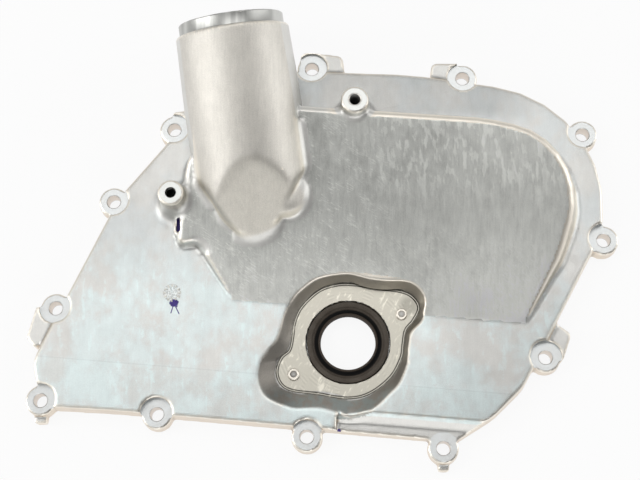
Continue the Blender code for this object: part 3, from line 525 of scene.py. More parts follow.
def facing_cutter():
    """The face mill's cut over the whole mating face."""
    made = bmesh.new()
    low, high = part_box("cover_casting")
    bmesh.ops.create_cube(made, size=1.0)
    margin = 2 * FACING_MARGIN * MM
    size = Vector((high.x - low.x + margin, high.y - low.y + margin, FACING_THICKNESS * MM))
    bmesh.ops.scale(made, vec=size, verts=made.verts)
    level = FACING_DEPTH * MM - FACING_THICKNESS * MM / 2
    middle = Vector(((low.x + high.x) / 2, (low.y + high.y) / 2, level))
    bmesh.ops.translate(made, vec=middle, verts=made.verts)
    return mesh_from(made, "facing_cutter")


def machined_skin(cast, machined):
    """The casting after machining, with the second material on every face that a tool has cut."""
    draft = new_piece("skin_draft", soft_casting())
    draft.data.materials.append(cast)
    helpers = []
    floor_edge = sweeping_curve(FLOOR_SWEEP)
    cuts = (
        (ear_plugs(), cast, "UNION"),
        (facing_cutter(), machined, "DIFFERENCE"),
        (prism_cutter("floor_cutter", floor_edge, FLOOR_CUT), machined, "DIFFERENCE"),
        (pocket_nubs(), cast, "UNION"),
        (slot_cutter(), cast, "DIFFERENCE"),
        (machining_cutters(), machined, "DIFFERENCE"),
    )
    for cutter_mesh, finish, operation in cuts:
        cutter_mesh.materials.append(finish)
        cutter = new_piece(cutter_mesh.name, cutter_mesh)
        cutter.hide_render = True
        helpers.append(cutter)
        cut = draft.modifiers.new(cutter_mesh.name, "BOOLEAN")
        cut.operation = operation
        cut.solver = "EXACT"
        cut.material_mode = "TRANSFER"
        cut.object = cutter
    skin = finished_mesh(draft)
    for helper in helpers + [draft]:
        bpy.data.objects.remove(helper, do_unlink=True)
    skin.shade_smooth()
    skin.set_sharp_from_angle(angle=math.radians(SKIN_EDGE_ANGLE))
    made = bmesh.new()
    made.from_mesh(skin)
    for edge in made.edges:
        if len({face.material_index for face in edge.link_faces}) > 1:
            edge.smooth = False
    made.to_mesh(skin)
    made.free()
    return skin


# The cast finish varies from place to place, and light and shade are painted onto it by place, so the
# skin carries where its edges, its panel, the flange's outer wall, the nose's flank and the pocket's
# walls lie. A LEAN is the normal's height at which a region starts, and the span over which it fades in.
PANEL_LEFT = -84.0
PANEL_MARGIN = 0.3
PANEL_FIT = 0.5
PANEL_LEVEL = 0.995
WALL_TOP_BAND = 0.8
WALL_STEEP = 0.7
POCKET_BOX = 60.0
POCKET_LOW = 7.0
POCKET_LEAN = (0.955, 0.07)
POCKET_RIM_BAND = 1.2
FLANK_HEIGHT = 6.0
FLANK_FADE = 3.0
FLANK_LEAN = (0.76, 0.2)


def depth_inside(places, outline):
    """How far places in mm lie inside a closed outline, or outside it if negative."""
    starts = np.array([tuple(point) for point in outline])
    runs = np.roll(starts, -1, axis=0) - starts
    away = places[:, None, :] - starts[None]
    share = np.clip((away * runs).sum(axis=2) / (runs * runs).sum(axis=1), 0.0, 1.0)
    distance = np.sqrt(((away - share[..., None] * runs) ** 2).sum(axis=2)).min(axis=1)
    spans = (away[:, :, 1] < 0.0) != (away[:, :, 1] < runs[:, 1])
    meets = away[:, :, 1] * runs[:, 0] / np.where(runs[:, 1] == 0.0, 1.0, runs[:, 1])
    crossings = (spans & (away[:, :, 0] < meets)).sum(axis=1)
    return np.where(crossings % 2 == 1, distance, -distance)


def edge_roundness(made):
    """How sharply the cast skin bends at each point: above 0 on an edge, below 0 in a corner."""
    bend = [0.0] * len(made.verts)
    room = [1e-12] * len(made.verts)
    for face in made.faces:
        share = face.calc_area() / len(face.verts)
        for vert in face.verts:
            room[vert.index] += share
    for edge in made.edges:
        if len(edge.link_faces) == 2 and not any(face.material_index for face in edge.link_faces):
            pull = edge.calc_face_angle_signed(0.0) * edge.calc_length() / 4
            for vert in edge.verts:
                bend[vert.index] += pull
    sharpness = [b / r * MM for b, r in zip(bend, room)]
    even = []
    for vert in made.verts:
        around = [sharpness[edge.other_vert(vert).index] for edge in vert.link_edges]
        even.append((sharpness[vert.index] + sum(around)) / (1 + len(around)))
    return even


def mark_regions(mesh):
    """Writes what the cast finish follows: edge roundness at points, and the kind of each face."""
    made = bmesh.new()
    made.from_mesh(mesh)
    roundness = edge_roundness(made)
    uphill = Vector(panel_uphill())
    slope = math.radians(PANEL_RISE)
    panel_normal = Vector((-uphill.x * math.sin(slope), -uphill.y * math.sin(slope), math.cos(slope)))
    places = np.array([tuple((vert.co - SEAL_AXIS) / MM) for vert in made.verts])
    upward = np.array([vert.normal.z for vert in made.verts])
    across, height = places[:, :2], places[:, 2]

    close = (abs(across[:, 0]) < POCKET_BOX) & (abs(across[:, 1]) < POCKET_BOX) & (height > POCKET_LOW)
    depth = depth_inside(across[close], sweeping_curve(POCKET_SWEEP))
    pocket = np.zeros(len(places))
    pocket[close] = np.clip((POCKET_LEAN[0] - upward[close]) / POCKET_LEAN[1], 0.0, 1.0)
    pocket[close] *= depth > -POCKET_RIM_BAND

    left, right, low, high = NOSE_REGION
    climbs = (across - np.array(CREASE_POINT)) @ np.array(tuple(uphill))
    rise = height - PLATE_TOP - np.maximum(climbs, 0.0) * math.tan(slope)
    # The nose's flank is marked so that a painted highlight can go on it.
    flank = np.clip((FLANK_HEIGHT - rise) / FLANK_FADE, 0.0, 1.0)
    flank *= np.clip((FLANK_LEAN[0] - upward) / FLANK_LEAN[1], 0.0, 1.0)
    flank *= (rise > -1.0) & (upward > 0.0)
    flank *= (across[:, 0] > left) & (across[:, 0] < right)
    flank *= (across[:, 1] > low) & (across[:, 1] < high)

    panel, wall = [], []
    for face in made.faces:
        place = (face.calc_center_median() - SEAL_AXIS) / MM
        climb = (Vector(place[:2]) - Vector(CREASE_POINT)).dot(uphill)
        level = PLATE_TOP + climb * math.tan(slope)
        on_plane = abs(place.z - level) < PANEL_FIT and face.normal.dot(panel_normal) > PANEL_LEVEL
        panel.append(float(on_plane and climb > PANEL_MARGIN and place.x > PANEL_LEFT))
        wall.append(float(place.z < PLATE_TOP - WALL_TOP_BAND and abs(face.normal.z) < WALL_STEEP))
    made.free()

    masks = {
        "roundness": ("POINT", roundness),
        "on_panel": ("FACE", panel),
        "on_wall": ("FACE", wall),
        "on_flank": ("POINT", flank),
        "in_pocket": ("POINT", pocket),
    }
    for name, (domain, values) in masks.items():
        mesh.attributes.new(name, "FLOAT", domain).data.foreach_set("value", values)


# The cast skin is dull and streaked, with a pale bluish wash on the flat side and a few marks of violet
# ink.
# Light and shade are painted into its colour as well: highlights on its rounded edges and the nose's
# flanks, shade in its corners, pocket and along the top of the plate, and reflection on the low strip and
# the walls.
# Colours are screen values from 0 to 255.
CAST_GREY = (216, 215, 211)
CAST_COOL = (214, 217, 216)
BLUE_WASH_AND_STRIP_SHEEN = (223, 234, 233)
PANEL_GREY = (213, 214, 209)
NECK_GREY = (212, 208, 200)
FACET_GREY = (202, 198, 188)
PAINTED_PANEL_RIM_HIGHLIGHT = (238, 229, 214)
PAINTED_WALL_REFLECTION = (238, 218, 194)
PAINTED_POCKET_SHADE = (158, 153, 145)
POCKET_COOL = (158, 164, 161)
PAINTED_EDGE_HIGHLIGHT = (250, 243, 230)
INK_DARK = (42, 26, 96)
INK_PALE = (78, 62, 150)
INK_DAB = (-87.4, 19.4)
INK_DOT = (-4.6, -44.6)
INK_STROKES = ((-88.3, 16.0, -0.28), (-85.6, 15.6, 0.50))
STAMP_PLACE = (-88.5, 24.6)
STAMP_RADIUS = 4.6


def linear(red, green, blue):
    """A colour picked as 0 to 255 screen values, as the linear colour a shader needs."""
    steps = [value / 255 for value in (red, green, blue)]
    return tuple(s / 12.92 if s <= 0.04045 else ((s + 0.055) / 1.055) ** 2.4 for s in steps)


def add_node(tree, kind, settings, inputs):
    """Adds a node to a tree: its settings first, then its sockets' values or links."""
    made = tree.nodes.new(kind)
    for name, value in settings.items():
        setattr(made, name, value)
    for key, value in inputs.items():
        if isinstance(value, bpy.types.NodeSocket):
            tree.links.new(value, made.inputs[key])
        else:
            made.inputs[key].default_value = value
    return made


class Signal:
    """A shader socket. Arithmetic on it adds the Math nodes that work the result out."""

    def __init__(self, finish, socket):
        self.finish = finish
        self.socket = socket

    def maths(self, operation, *values):
        return self.finish.node("ShaderNodeMath", {"operation": operation}, dict(enumerate(values)))

    def __add__(self, other):
        return self.maths("ADD", self, other)

    def __sub__(self, other):
        return self.maths("SUBTRACT", self, other)

    def __rsub__(self, other):
        return self.maths("SUBTRACT", other, self)

    def __mul__(self, other):
        return self.maths("MULTIPLY", self, other)

    def __abs__(self):
        return self.maths("ABSOLUTE", self)

    __radd__ = __add__
    __rmul__ = __mul__

    def power(self, exponent):
        return self.maths("POWER", self, exponent)

    def wave(self, period):
        """A smooth ripple from -1 to 1 with this period."""
        return self.maths("SINE", self * (2 * math.pi / period))

    def least(self, other):
        return self.maths("MINIMUM", self, other)

    def most(self, other):
        return self.maths("MAXIMUM", self, other)

    def step(self, low, high):
        """0 below low and 1 above high, with a smooth change between."""
        settings = {"interpolation_type": "SMOOTHSTEP"}
        inputs = {0: self, 1: low, 2: high, 3: 0.0, 4: 1.0}
        return self.finish.node("ShaderNodeMapRange", settings, inputs)

    def near(self, middle, reach, edge):
        """1 within reach of a middle value, falling to 0 over the edge."""
        return 1 - abs(self - middle).step(reach, reach + edge)


class Finish:
    """The node tree of one material, on the piece's own millimetres from the seal's axis."""

    def __init__(self, name, metallic, roughness):
        self.material = bpy.data.materials.new(name)
        self.material.use_nodes = True
        self.tree = self.material.node_tree
        self.shader = self.tree.nodes["Principled BSDF"]
        self.shader.inputs["Metallic"].default_value = metallic
        self.shader.inputs["Roughness"].default_value = roughness
        place = self.node("ShaderNodeTexCoord", {}, {}, "Object")
        shift = (-SEAL_AXIS.x / MM, -SEAL_AXIS.y / MM, 0.0)
        settings = {"vector_type": "POINT"}
        scale = (1 / MM, 1 / MM, 1 / MM)
        self.place = self.node("ShaderNodeMapping", settings, {0: place, 1: shift, 3: scale})
        self.x = self.node("ShaderNodeSeparateXYZ", {}, {0: self.place}, 0)
        self.y = self.node("ShaderNodeSeparateXYZ", {}, {0: self.place}, 1)
        self.z = self.node("ShaderNodeSeparateXYZ", {}, {0: self.place}, 2)

    def node(self, kind, settings, inputs, output=0):
        """Adds a node to the material and gives one of its outputs."""
        sockets = {key: getattr(value, "socket", value) for key, value in inputs.items()}
        return Signal(self, add_node(self.tree, kind, settings, sockets).outputs[output])

    def noise(self, size, stretch=(1.0, 1.0, 1.0), detail=3.0, roughness=0.5, turn=0.0, offset=0.0):
        """Noise from 0 to 1 whose grains have this size in mm, longer where it is stretched."""
        scale = tuple(1 / (size * longer) for longer in stretch)
        settings = {"vector_type": "POINT"}
        inputs = {0: self.place, 1: (offset,) * 3, 2: (0.0, 0.0, math.radians(turn))}
        turned = self.node("ShaderNodeMapping", settings, inputs)
        spread = self.node("ShaderNodeMapping", settings, {0: turned, 3: scale})
        inputs = {"Vector": spread, "Scale": 1.0, "Detail": detail, "Roughness": roughness}
        return self.node("ShaderNodeTexNoise", {}, inputs)

    def carried(self, name):
        """A value that the mesh carries."""
        return self.node("ShaderNodeAttribute", {"attribute_name": name}, {}, "Fac")

    def mix(self, first, second, share):
        """A colour between two, by a share from 0 to 1."""
        inputs = {0: share, 6: self.colour(first), 7: self.colour(second)}
        return self.node("ShaderNodeMix", {"data_type": "RGBA", "clamp_factor": True}, inputs, 2)

    def colour(self, value):
        return value if isinstance(value, Signal) else (*linear(*value), 1.0)

    def shade(self, colour, level):
        """A colour made lighter or darker by a factor that varies over the surface."""
        grey = self.node("ShaderNodeCombineXYZ", {}, {0: level, 1: level, 2: level})
        settings = {"operation": "MULTIPLY"}
        return self.node("ShaderNodeVectorMath", settings, {0: colour, 1: grey})

    def distance(self, x, y):
        """Distance in mm from an upright axis at this place."""
        across = self.x - x
        along = self.y - y
        return (across * across + along * along).power(0.5)

    def feed(self, **sockets):
        for name, value in sockets.items():
            self.tree.links.new(value.socket, self.shader.inputs[name.replace("_", " ")])

    def bump(self, height, strength, distance):
        """Turns a height in mm into the shader's normal."""
        inputs = {"Strength": strength, "Distance": distance * MM, "Height": height}
        self.feed(Normal=self.node("ShaderNodeBump", {}, inputs))


def ink_marks(finish, speck):
    """A dab of marking ink with two strokes below it, a dot at the edge, and ink in the slot."""
    x, y, z = finish.x, finish.y, finish.z
    dab = finish.distance(*INK_DAB) + (speck - 0.5) * 2.2
    ink = 1 - dab.step(2.0, 2.4)
    for foot_x, foot_y, lean in INK_STROKES:
        lengthways = (y - foot_y).near(0.0, 1.7, 0.5)
        across = (x - foot_x + (y - foot_y) * lean).near(0.0, 0.16, 0.22)
        ink = ink.most(lengthways * across)
    ink = ink * z.near(PLATE_TOP, 0.4, 0.4)
    dot = 1 - finish.distance(*INK_DOT).step(0.8, 1.0)
    ink = ink.most(dot * z.step(8.0, 8.5))
    in_slot = (x - SLOT_PLACE[0]).near(0.0, 1.4, 0.1) * (y - SLOT_PLACE[1]).near(0.0, 3.8, 0.1)
    return ink.most(in_slot * z.near(SLOT_FLOOR, 0.9, 0.3))


def cast_aluminium():
    finish = Finish("cast_aluminium", 1.0, 0.4)
    x, y, z = finish.x, finish.y, finish.z
    in_pocket = finish.carried("in_pocket")
    on_panel = finish.carried("on_panel") * (1 - in_pocket)
    on_wall = finish.carried("on_wall") * (1 - in_pocket)
    roundness = finish.carried("roundness")
    edge = roundness.step(0.05, 0.34)
    corner = (0.0 - roundness).step(0.07, 0.36)

    climb_x, climb_y = panel_uphill()
    up_cover = (x - CREASE_POINT[0]) * climb_x + (y - CREASE_POINT[1]) * climb_y
    band = up_cover + 36.0
    on_plate = z.near(PLATE_TOP - 0.6, 1.0, 0.5) * (1 - on_panel) * (1 - in_pocket) * (1 - on_wall)
    panel_rise = up_cover.most(0.0) * math.tan(math.radians(PANEL_RISE))
    on_neck = (z - panel_rise - PLATE_TOP).step(1.8, 3.0) * (1 - x.step(-16.0, -10.0))
    low_plate = on_plate * (1 - up_cover.step(0.0, 38.0))
    left_plate = on_plate * (1 - x.step(-110.0, -80.0)) * up_cover.step(0.0, 30.0)
    painted_top_band_shade = on_plate * y.step(110.0, 122.0) * (1 - x.step(70.0, 110.0))
    off_boss = finish.distance(*BOSSES[1][:2]).step(10.0, 11.5)
    # Painted highlight: the panel's rounded top edge is painted cream where it catches the light.
    panel_rim_highlight = z.step(14.6, 15.4) * (1 - on_panel) * (1 - in_pocket) * x.step(-12.0, -6.0) * off_boss
    along = neck_direction()
    uphill = Vector((along.x, along.y)).normalized()
    climbed = (x - FACET_TIP[0]) * uphill.x + (y - FACET_TIP[1]) * uphill.y
    below_facet = climbed * math.tan(math.radians(FACET_RISE)) + FACET_TIP[2] - z
    on_facet = below_facet.near(0.0, 0.4, 1.4) * on_neck
    on_stamp = (1 - finish.distance(*STAMP_PLACE).step(STAMP_RADIUS - 0.3, STAMP_RADIUS + 0.3)) * on_plate

    streaks = finish.noise(0.9, (1.0, 22.0, 3.0), 5.0, 0.65)
    brushed = finish.noise(2.6, (1.0, 9.0, 1.0), 4.0, 0.6, offset=13.0)
    broad = finish.noise(11.0, (1.0, 2.4, 1.0), 5.0, 0.62)
    grit = finish.noise(0.5, (1.0, 1.0, 1.0), 3.0, 0.75)
    clouds = finish.noise(22.0, (1.0, 1.3, 1.0), 5.0, 0.62, offset=40.0)
    mottle = finish.noise(5.0, (1.0, 1.4, 1.0), 5.0, 0.6, offset=-70.0)
    scratches = finish.noise(0.55, (1.0, 30.0, 1.0), 3.0, 0.5, turn=-42.0, offset=7.0)
    hatch = finish.noise(0.5, (1.0, 18.0, 1.0), 2.0, 0.5, turn=-58.0, offset=31.0)
    flow = finish.noise(2.6, (1.0, 5.0, 1.0), 4.0, 0.5, turn=-4.0, offset=90.0)
    drips = finish.noise(2.6, (1.0, 7.0, 1.0), 3.0, 0.5, offset=-30.0)
    pits = finish.noise(0.9, detail=2.0, roughness=0.7, offset=5.0)

    tint = (clouds + (mottle - 0.5) * 0.25).step(0.38, 0.62)
    wet = drips.step(0.55, 0.60) * mottle.step(0.50, 0.56) * 0.8
    # Partly random patches and drips of bluish tone, and partly a painted reflection: the tilted strip
    # below the crease is painted bluer.
    wash_and_strip_sheen = tint * 0.70 + wet * 0.5 + (1 - band.step(-1.0, 2.0)) * 0.25 - on_stamp * 0.5
    pocket_foot = in_pocket * (1 - y.step(-30.0, -20.0)) * mottle.step(0.4, 0.6)
    colour = finish.mix(CAST_GREY, CAST_COOL, tint * on_plate)
    colour = finish.mix(colour, BLUE_WASH_AND_STRIP_SHEEN, wash_and_strip_sheen * low_plate)
    colour = finish.mix(colour, PANEL_GREY, on_panel * 0.95)
    colour = finish.mix(colour, NECK_GREY, on_neck * 0.9)
    colour = finish.mix(colour, FACET_GREY, on_facet * 0.6)
    colour = finish.mix(colour, PAINTED_PANEL_RIM_HIGHLIGHT, panel_rim_highlight * 0.7)
    # Painted reflection: the flange's steep outer walls are tinted tan for the warm light they reflect.
    colour = finish.mix(colour, PAINTED_WALL_REFLECTION, on_wall * 0.6)
    # Painted shade: the pocket's walls are painted darker for the shade inside the pocket.
    colour = finish.mix(colour, PAINTED_POCKET_SHADE, in_pocket * 0.95)
    colour = finish.mix(colour, POCKET_COOL, pocket_foot)

    level = (streaks - 0.5) * (on_panel * 0.26 + on_neck * 0.20 + 0.10) + (broad - 0.5) * 0.20 + 1.0
    level = level + (grit - 0.5) * (on_panel * 0.12 + on_neck * 0.24 + 0.26) + (mottle - 0.5) * 0.18
    level = level + (brushed - 0.5) * on_panel * 0.36
    level = level + (pits.step(0.38, 0.62) - 0.62) * on_stamp * 0.5
    # Painted shade: the band of plate along the panel's top is darkened. The clouds term is random tone.
    level = level - clouds.step(0.46, 0.62) * on_panel * 0.16 - painted_top_band_shade * 0.28
    strokes = flow.step(0.50, 0.60) * y.step(62.0, 84.0) * x.step(-4.0, 30.0)
    level = level + strokes * on_panel * 0.26
    scratched = on_panel * (1 - y.step(44.0, 66.0)) * clouds.step(0.4, 0.6)
    level = level + scratches.step(0.54, 0.70) * scratched * 0.20
    rubbed = mottle.step(0.48, 0.56) * on_panel * (1 - x.step(0.0, 40.0))
    level = level + hatch.step(0.50, 0.66) * rubbed * 0.24
    # Painted light and shade: the panel is lighter towards the right and bottom, the low plate darker to
    # the right, and the left plate darker.
    level = level + (x.step(16.0, 90.0) * 0.27 + (1 - y.step(20.0, 70.0)) * 0.38 - 0.05) * on_panel
    level = level - x.step(20.0, 70.0) * low_plate * 0.15 - left_plate * 0.07
    level = level - band.near(0.0, 0.15, 0.3) * low_plate * 0.07
    # Painted light and shade in the pocket: its upper walls lighter and its left walls darker.
    level = level + (y.step(8.0, 24.0) - (1 - x.step(-36.0, -20.0))) * in_pocket * 0.36
    # Painted shade: concave corners away from the neck are darkened.
    level = level - corner * (1 - on_neck) * 0.28
    colour = finish.shade(colour, level)
    # Painted highlight: cream painted onto rounded edges, into the concave corners round the neck and nose,
    # and onto the nose's flanks.
    lit = edge * 0.75 + corner * on_neck * 0.6 + finish.carried("on_flank") * 0.7
    colour = finish.mix(colour, PAINTED_EDGE_HIGHLIGHT, lit)

    speck = finish.noise(1.6, detail=2.0)
    ink = ink_marks(finish, speck)
    colour = finish.mix(colour, finish.mix(INK_DARK, INK_PALE, speck), ink)
    rough = (streaks - 0.5) * 0.10 + (clouds - 0.5) * 0.16 + 0.40
    rough = rough + on_neck * 0.02 - edge * 0.08 + ink * 0.2
    finish.feed(Base_Color=colour, Roughness=rough, Metallic=1 - ink * 0.9)
    finish.bump(grit * 0.07 + streaks * 0.05 + broad * 0.10 + on_neck * grit * 0.08, 1.0, 1.0)
    return finish.material


# The machined faces are brighter, with turned rings round the holes and long arcs of the face
# mill on the mating face.
MACHINED_GREY = (214, 214, 211)
MACHINED_BRIGHT = (224, 228, 229)
BOSS_BRIGHT = (224, 225, 221)
FLOOR_GREY = (198, 194, 182)
SPIGOT_GREY = (182, 182, 178)
PAINTED_HOLE_REFLECTION = (240, 208, 176)
MILL_CENTRE = (-60.0, 420.0)
FLOOR_SHADE = (31.0, 18.5)


def machined_aluminium():
    finish = Finish("machined_aluminium", 1.0, 0.2)
    z = finish.z
    along = neck_direction()
    throat = Vector(NECK_THROAT)
    station = (finish.x - throat.x) * along.x + (finish.y - throat.y) * along.y + (z - throat.z) * along.z
    from_ear = finish.distance(*EARS[0])
    for centre in EARS[1:]:
        from_ear = from_ear.least(finish.distance(*centre))
    from_boss = finish.distance(*BOSSES[0][:2]).least(finish.distance(*BOSSES[1][:2]))
    from_seal = finish.distance(0.0, 0.0)
    on_mating = 1 - z.step(0.5, 1.0)
    on_spigot = station.step(32.0, 33.0) * z.step(20.0, 22.0)
    on_floor = z.near(8.6, 0.4, 0.1) * from_seal.step(21.1, 21.3) * (1 - from_seal.step(48.0, 49.0))
    on_ear = from_ear.near(0.0, 10.0, 1.0) * (1 - on_mating) * (1 - on_floor)
    on_boss = from_boss.near(0.0, 10.0, 1.0) * (1 - on_spigot)
    inside_hole = on_ear * (1 - from_ear.step(3.2, 3.6)) * (1 - z.step(EAR_TOP - 0.4, EAR_TOP - 0.2))

    wear = finish.noise(4.0, detail=3.0)
    grit = finish.noise(0.4, detail=2.0)
    sweeps = finish.noise(2.2, (1.0, 5.0, 1.0), 3.0, 0.55, turn=28.0)
    blotches = finish.noise(5.0, detail=2.0, offset=9.0)
    painted_spigot_reflection = finish.noise(4.5, (1.0, 30.0, 30.0), 2.0, offset=3.0)
    chatter = from_seal.wave(1.7) * blotches.step(0.52, 0.62)
    swept = sweeps.step(0.50, 0.66) * wear.step(0.45, 0.6)

    colour = finish.mix(MACHINED_GREY, MACHINED_BRIGHT, wear)
    colour = finish.mix(colour, BOSS_BRIGHT, on_boss * 0.9)
    colour = finish.mix(colour, FLOOR_GREY, on_floor)
    colour = finish.mix(colour, SPIGOT_GREY, on_spigot * 0.9)
    level = (wear - 0.5) * 0.12 + (grit - 0.5) * 0.14 + 1.0
    level = level + (swept * 0.40 - 0.06 + chatter * 0.08) * on_floor
    # Painted shade: the floor's groove is darkened below its edge.
    level = level - (1 - z.step(8.42, 8.60)) * on_floor * 0.72
    level = level - (1 - finish.distance(*FLOOR_SHADE).step(2.5, 6.5)) * on_floor * 0.28
    # Painted reflection: stripes of light and dark round the polished spigot.
    level = level + (painted_spigot_reflection.step(0.40, 0.60) - 0.5) * on_spigot * 0.40
    # Painted shade: the tapped hole in each boss is darkened inside.
    level = level - from_boss.near(0.0, 2.72, 0.05) * on_boss * 0.72
    colour = finish.shade(colour, level)
    # Painted reflection: the ears' holes are tinted tan for the warm light their walls reflect.
    colour = finish.mix(colour, PAINTED_HOLE_REFLECTION, inside_hole * 0.85)
    rough = 0.24 + on_ear * 0.14 + on_boss * 0.16 + on_floor * 0.12 + (wear - 0.5) * 0.10 + on_spigot * 0.08
    finish.feed(Base_Color=colour, Roughness=rough)
    turned = from_ear.wave(0.6) * on_ear * 0.004 + from_boss.wave(0.6) * on_boss * 0.004
    milled = finish.distance(*MILL_CENTRE).wave(1.1) * on_mating * 0.006
    finish.bump(turned + milled, 1.0, 1.0)
    return finish.material


cover = new_piece("cover_skin", machined_skin(cast_aluminium(), machined_aluminium()))
mark_regions(cover.data)
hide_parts("cover_casting")
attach(cover, "root")

# The crankshaft seal is a ring of black nitrile rubber moulded over a steel case and pressed into
# its bore. A rim, a deep groove, a rounded lip and a thin dust lip show from outside.
SEAL_SIDES = 128
SEAL_PROFILE = (
    (20.6, 8.4), (20.68, 8.1), (20.7, 7.8), (20.7, 2.0), (20.3, 1.5), (19.1, 1.5), (18.9, 2.0),
    (18.75, 6.2), (17.3, 6.1), (16.9, 4.5), (17.45, 3.9), (17.5, 3.2), (17.45, 2.6), (16.6, 2.1),
    (15.3, 1.7), (14.6, 1.8), (13.95, 3.2), (13.8, 3.5), (14.4, 4.8), (14.95, 5.7), (14.4, 6.6),
    (14.0, 7.2), (13.85, 7.5), (14.0, 7.85), (14.5, 7.95), (15.0, 7.7), (15.5, 6.9), (16.6, 6.75),
    (17.6, 6.9), (18.05, 7.6), (18.2, 8.2), (18.45, 8.45), (19.6, 8.5), (20.35, 8.48),
)
RUBBER_BLACK = (62, 53, 45)
RUBBER_BLOOM = (86, 80, 72)
PAINTED_GROOVE_SHADE = (8, 8, 7)
RUBBER_GLOSS = 0.22


def moulded_rubber():
    finish = Finish("moulded_rubber", 0.0, 0.5)
    from_axis = finish.distance(0.0, 0.0)
    speckle = finish.noise(0.35, detail=3.0, roughness=0.6)
    bloom = finish.noise(7.0, detail=2.0)
    on_rim = from_axis.step(16.9, 17.6)
    in_groove = from_axis.near(15.9, 0.7, 0.6)
    colour = finish.mix(RUBBER_BLACK, RUBBER_BLOOM, on_rim * (bloom.step(0.3, 0.8) * 0.6 + 0.4))
    # Painted shade: the groove between rim and lip is painted near black. It is also made rougher.
    colour = finish.mix(colour, PAINTED_GROOVE_SHADE, in_groove)
    finish.feed(Base_Color=finish.shade(colour, (speckle - 0.5) * 1.4 + 1.0))
    finish.feed(Roughness=(bloom - 0.5) * 0.2 + (speckle - 0.5) * 0.1 + in_groove * 0.3 + 0.5)
    finish.shader.inputs["Specular IOR Level"].default_value = RUBBER_GLOSS
    finish.bump(speckle * 0.02 + from_axis.wave(0.8) * on_rim * 0.008, 1.0, 1.0)
    return finish.material


made = bmesh.new()
turned_body(made, SEAL_PROFILE, upright(0.0, 0.0), SEAL_SIDES, closed=True)
seal = new_piece("seal_rubber", mesh_from(made, "seal_rubber"))
seal.data.shade_smooth()
seal.data.materials.append(moulded_rubber())
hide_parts("shaft_seal")
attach(seal, "root")

# A garter spring closes the seal's lip on the shaft. It is spring steel wire wound into a
# long close coil, hooked end to end and snapped into the groove behind the lip.
COIL_TURNS = 150
COIL_WIRE = 0.16 * MM
COIL_POINTS_PER_TURN = 7
WIRE_PALE = (176, 172, 165)
WIRE_DARK = (140, 133, 122)


def garter_coil():
    low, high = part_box("garter_spring")
    middle = (low + high) / 2
    tube = (high.z - low.z) / 2 - COIL_WIRE
    ring = (high.x - low.x) / 2 - tube - COIL_WIRE
    curve = bpy.data.curves.new("garter_coil", "CURVE")
    curve.dimensions = "3D"
    curve.bevel_depth = COIL_WIRE
    curve.bevel_resolution = 1
    spline = curve.splines.new("POLY")
    count = COIL_TURNS * COIL_POINTS_PER_TURN
    spline.points.add(count - 1)
    for index in range(count):
        round_ring = 2 * math.pi * index / count
        round_wire = round_ring * COIL_TURNS
        reach = ring + tube * math.cos(round_wire)
        spot = (math.cos(round_ring) * reach, math.sin(round_ring) * reach, tube * math.sin(round_wire))
        spline.points[index].co = (*(middle + Vector(spot)), 1.0)
    spline.use_cyclic_u = True
    draft = bpy.data.objects.new("garter_draft", curve)
    bpy.context.scene.collection.objects.link(draft)
    mesh = finished_mesh(draft)
    bpy.data.objects.remove(draft, do_unlink=True)
    mesh.shade_smooth()
    return mesh


def spring_steel():
    finish = Finish("spring_steel", 1.0, 0.3)
    drawn = finish.noise(0.3, detail=2.0)
    colour = finish.shade(finish.mix(WIRE_PALE, WIRE_DARK, drawn), drawn * 0.3 + 0.85)
    finish.feed(Base_Color=colour, Roughness=drawn * 0.2 + 0.22)
    return finish.material


spring = new_piece("garter_coil", garter_coil())
spring.data.materials.append(spring_steel())
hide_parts("garter_spring")
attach(spring, "root")

# A date clock stands on the flat left side: a small round ground with a ring of short raised
# ticks. It is cast with the cover, from a round insert in the die with fine cut grooves.
CLOCK_RADIUS = 3.7 * MM
CLOCK_TICKS = 12
CLOCK_TICK = (0.8 * MM, 1.9 * MM, 0.5 * MM)
CLOCK_SEED = 7
CLOCK_FOOT = 13.95
TICK_WIDTHS = (0.45, 0.7)
TICK_LENGTHS = (0.55, 1.1)
CLOCK_PALE = (228, 226, 218)
CLOCK_GREY = (206, 205, 198)


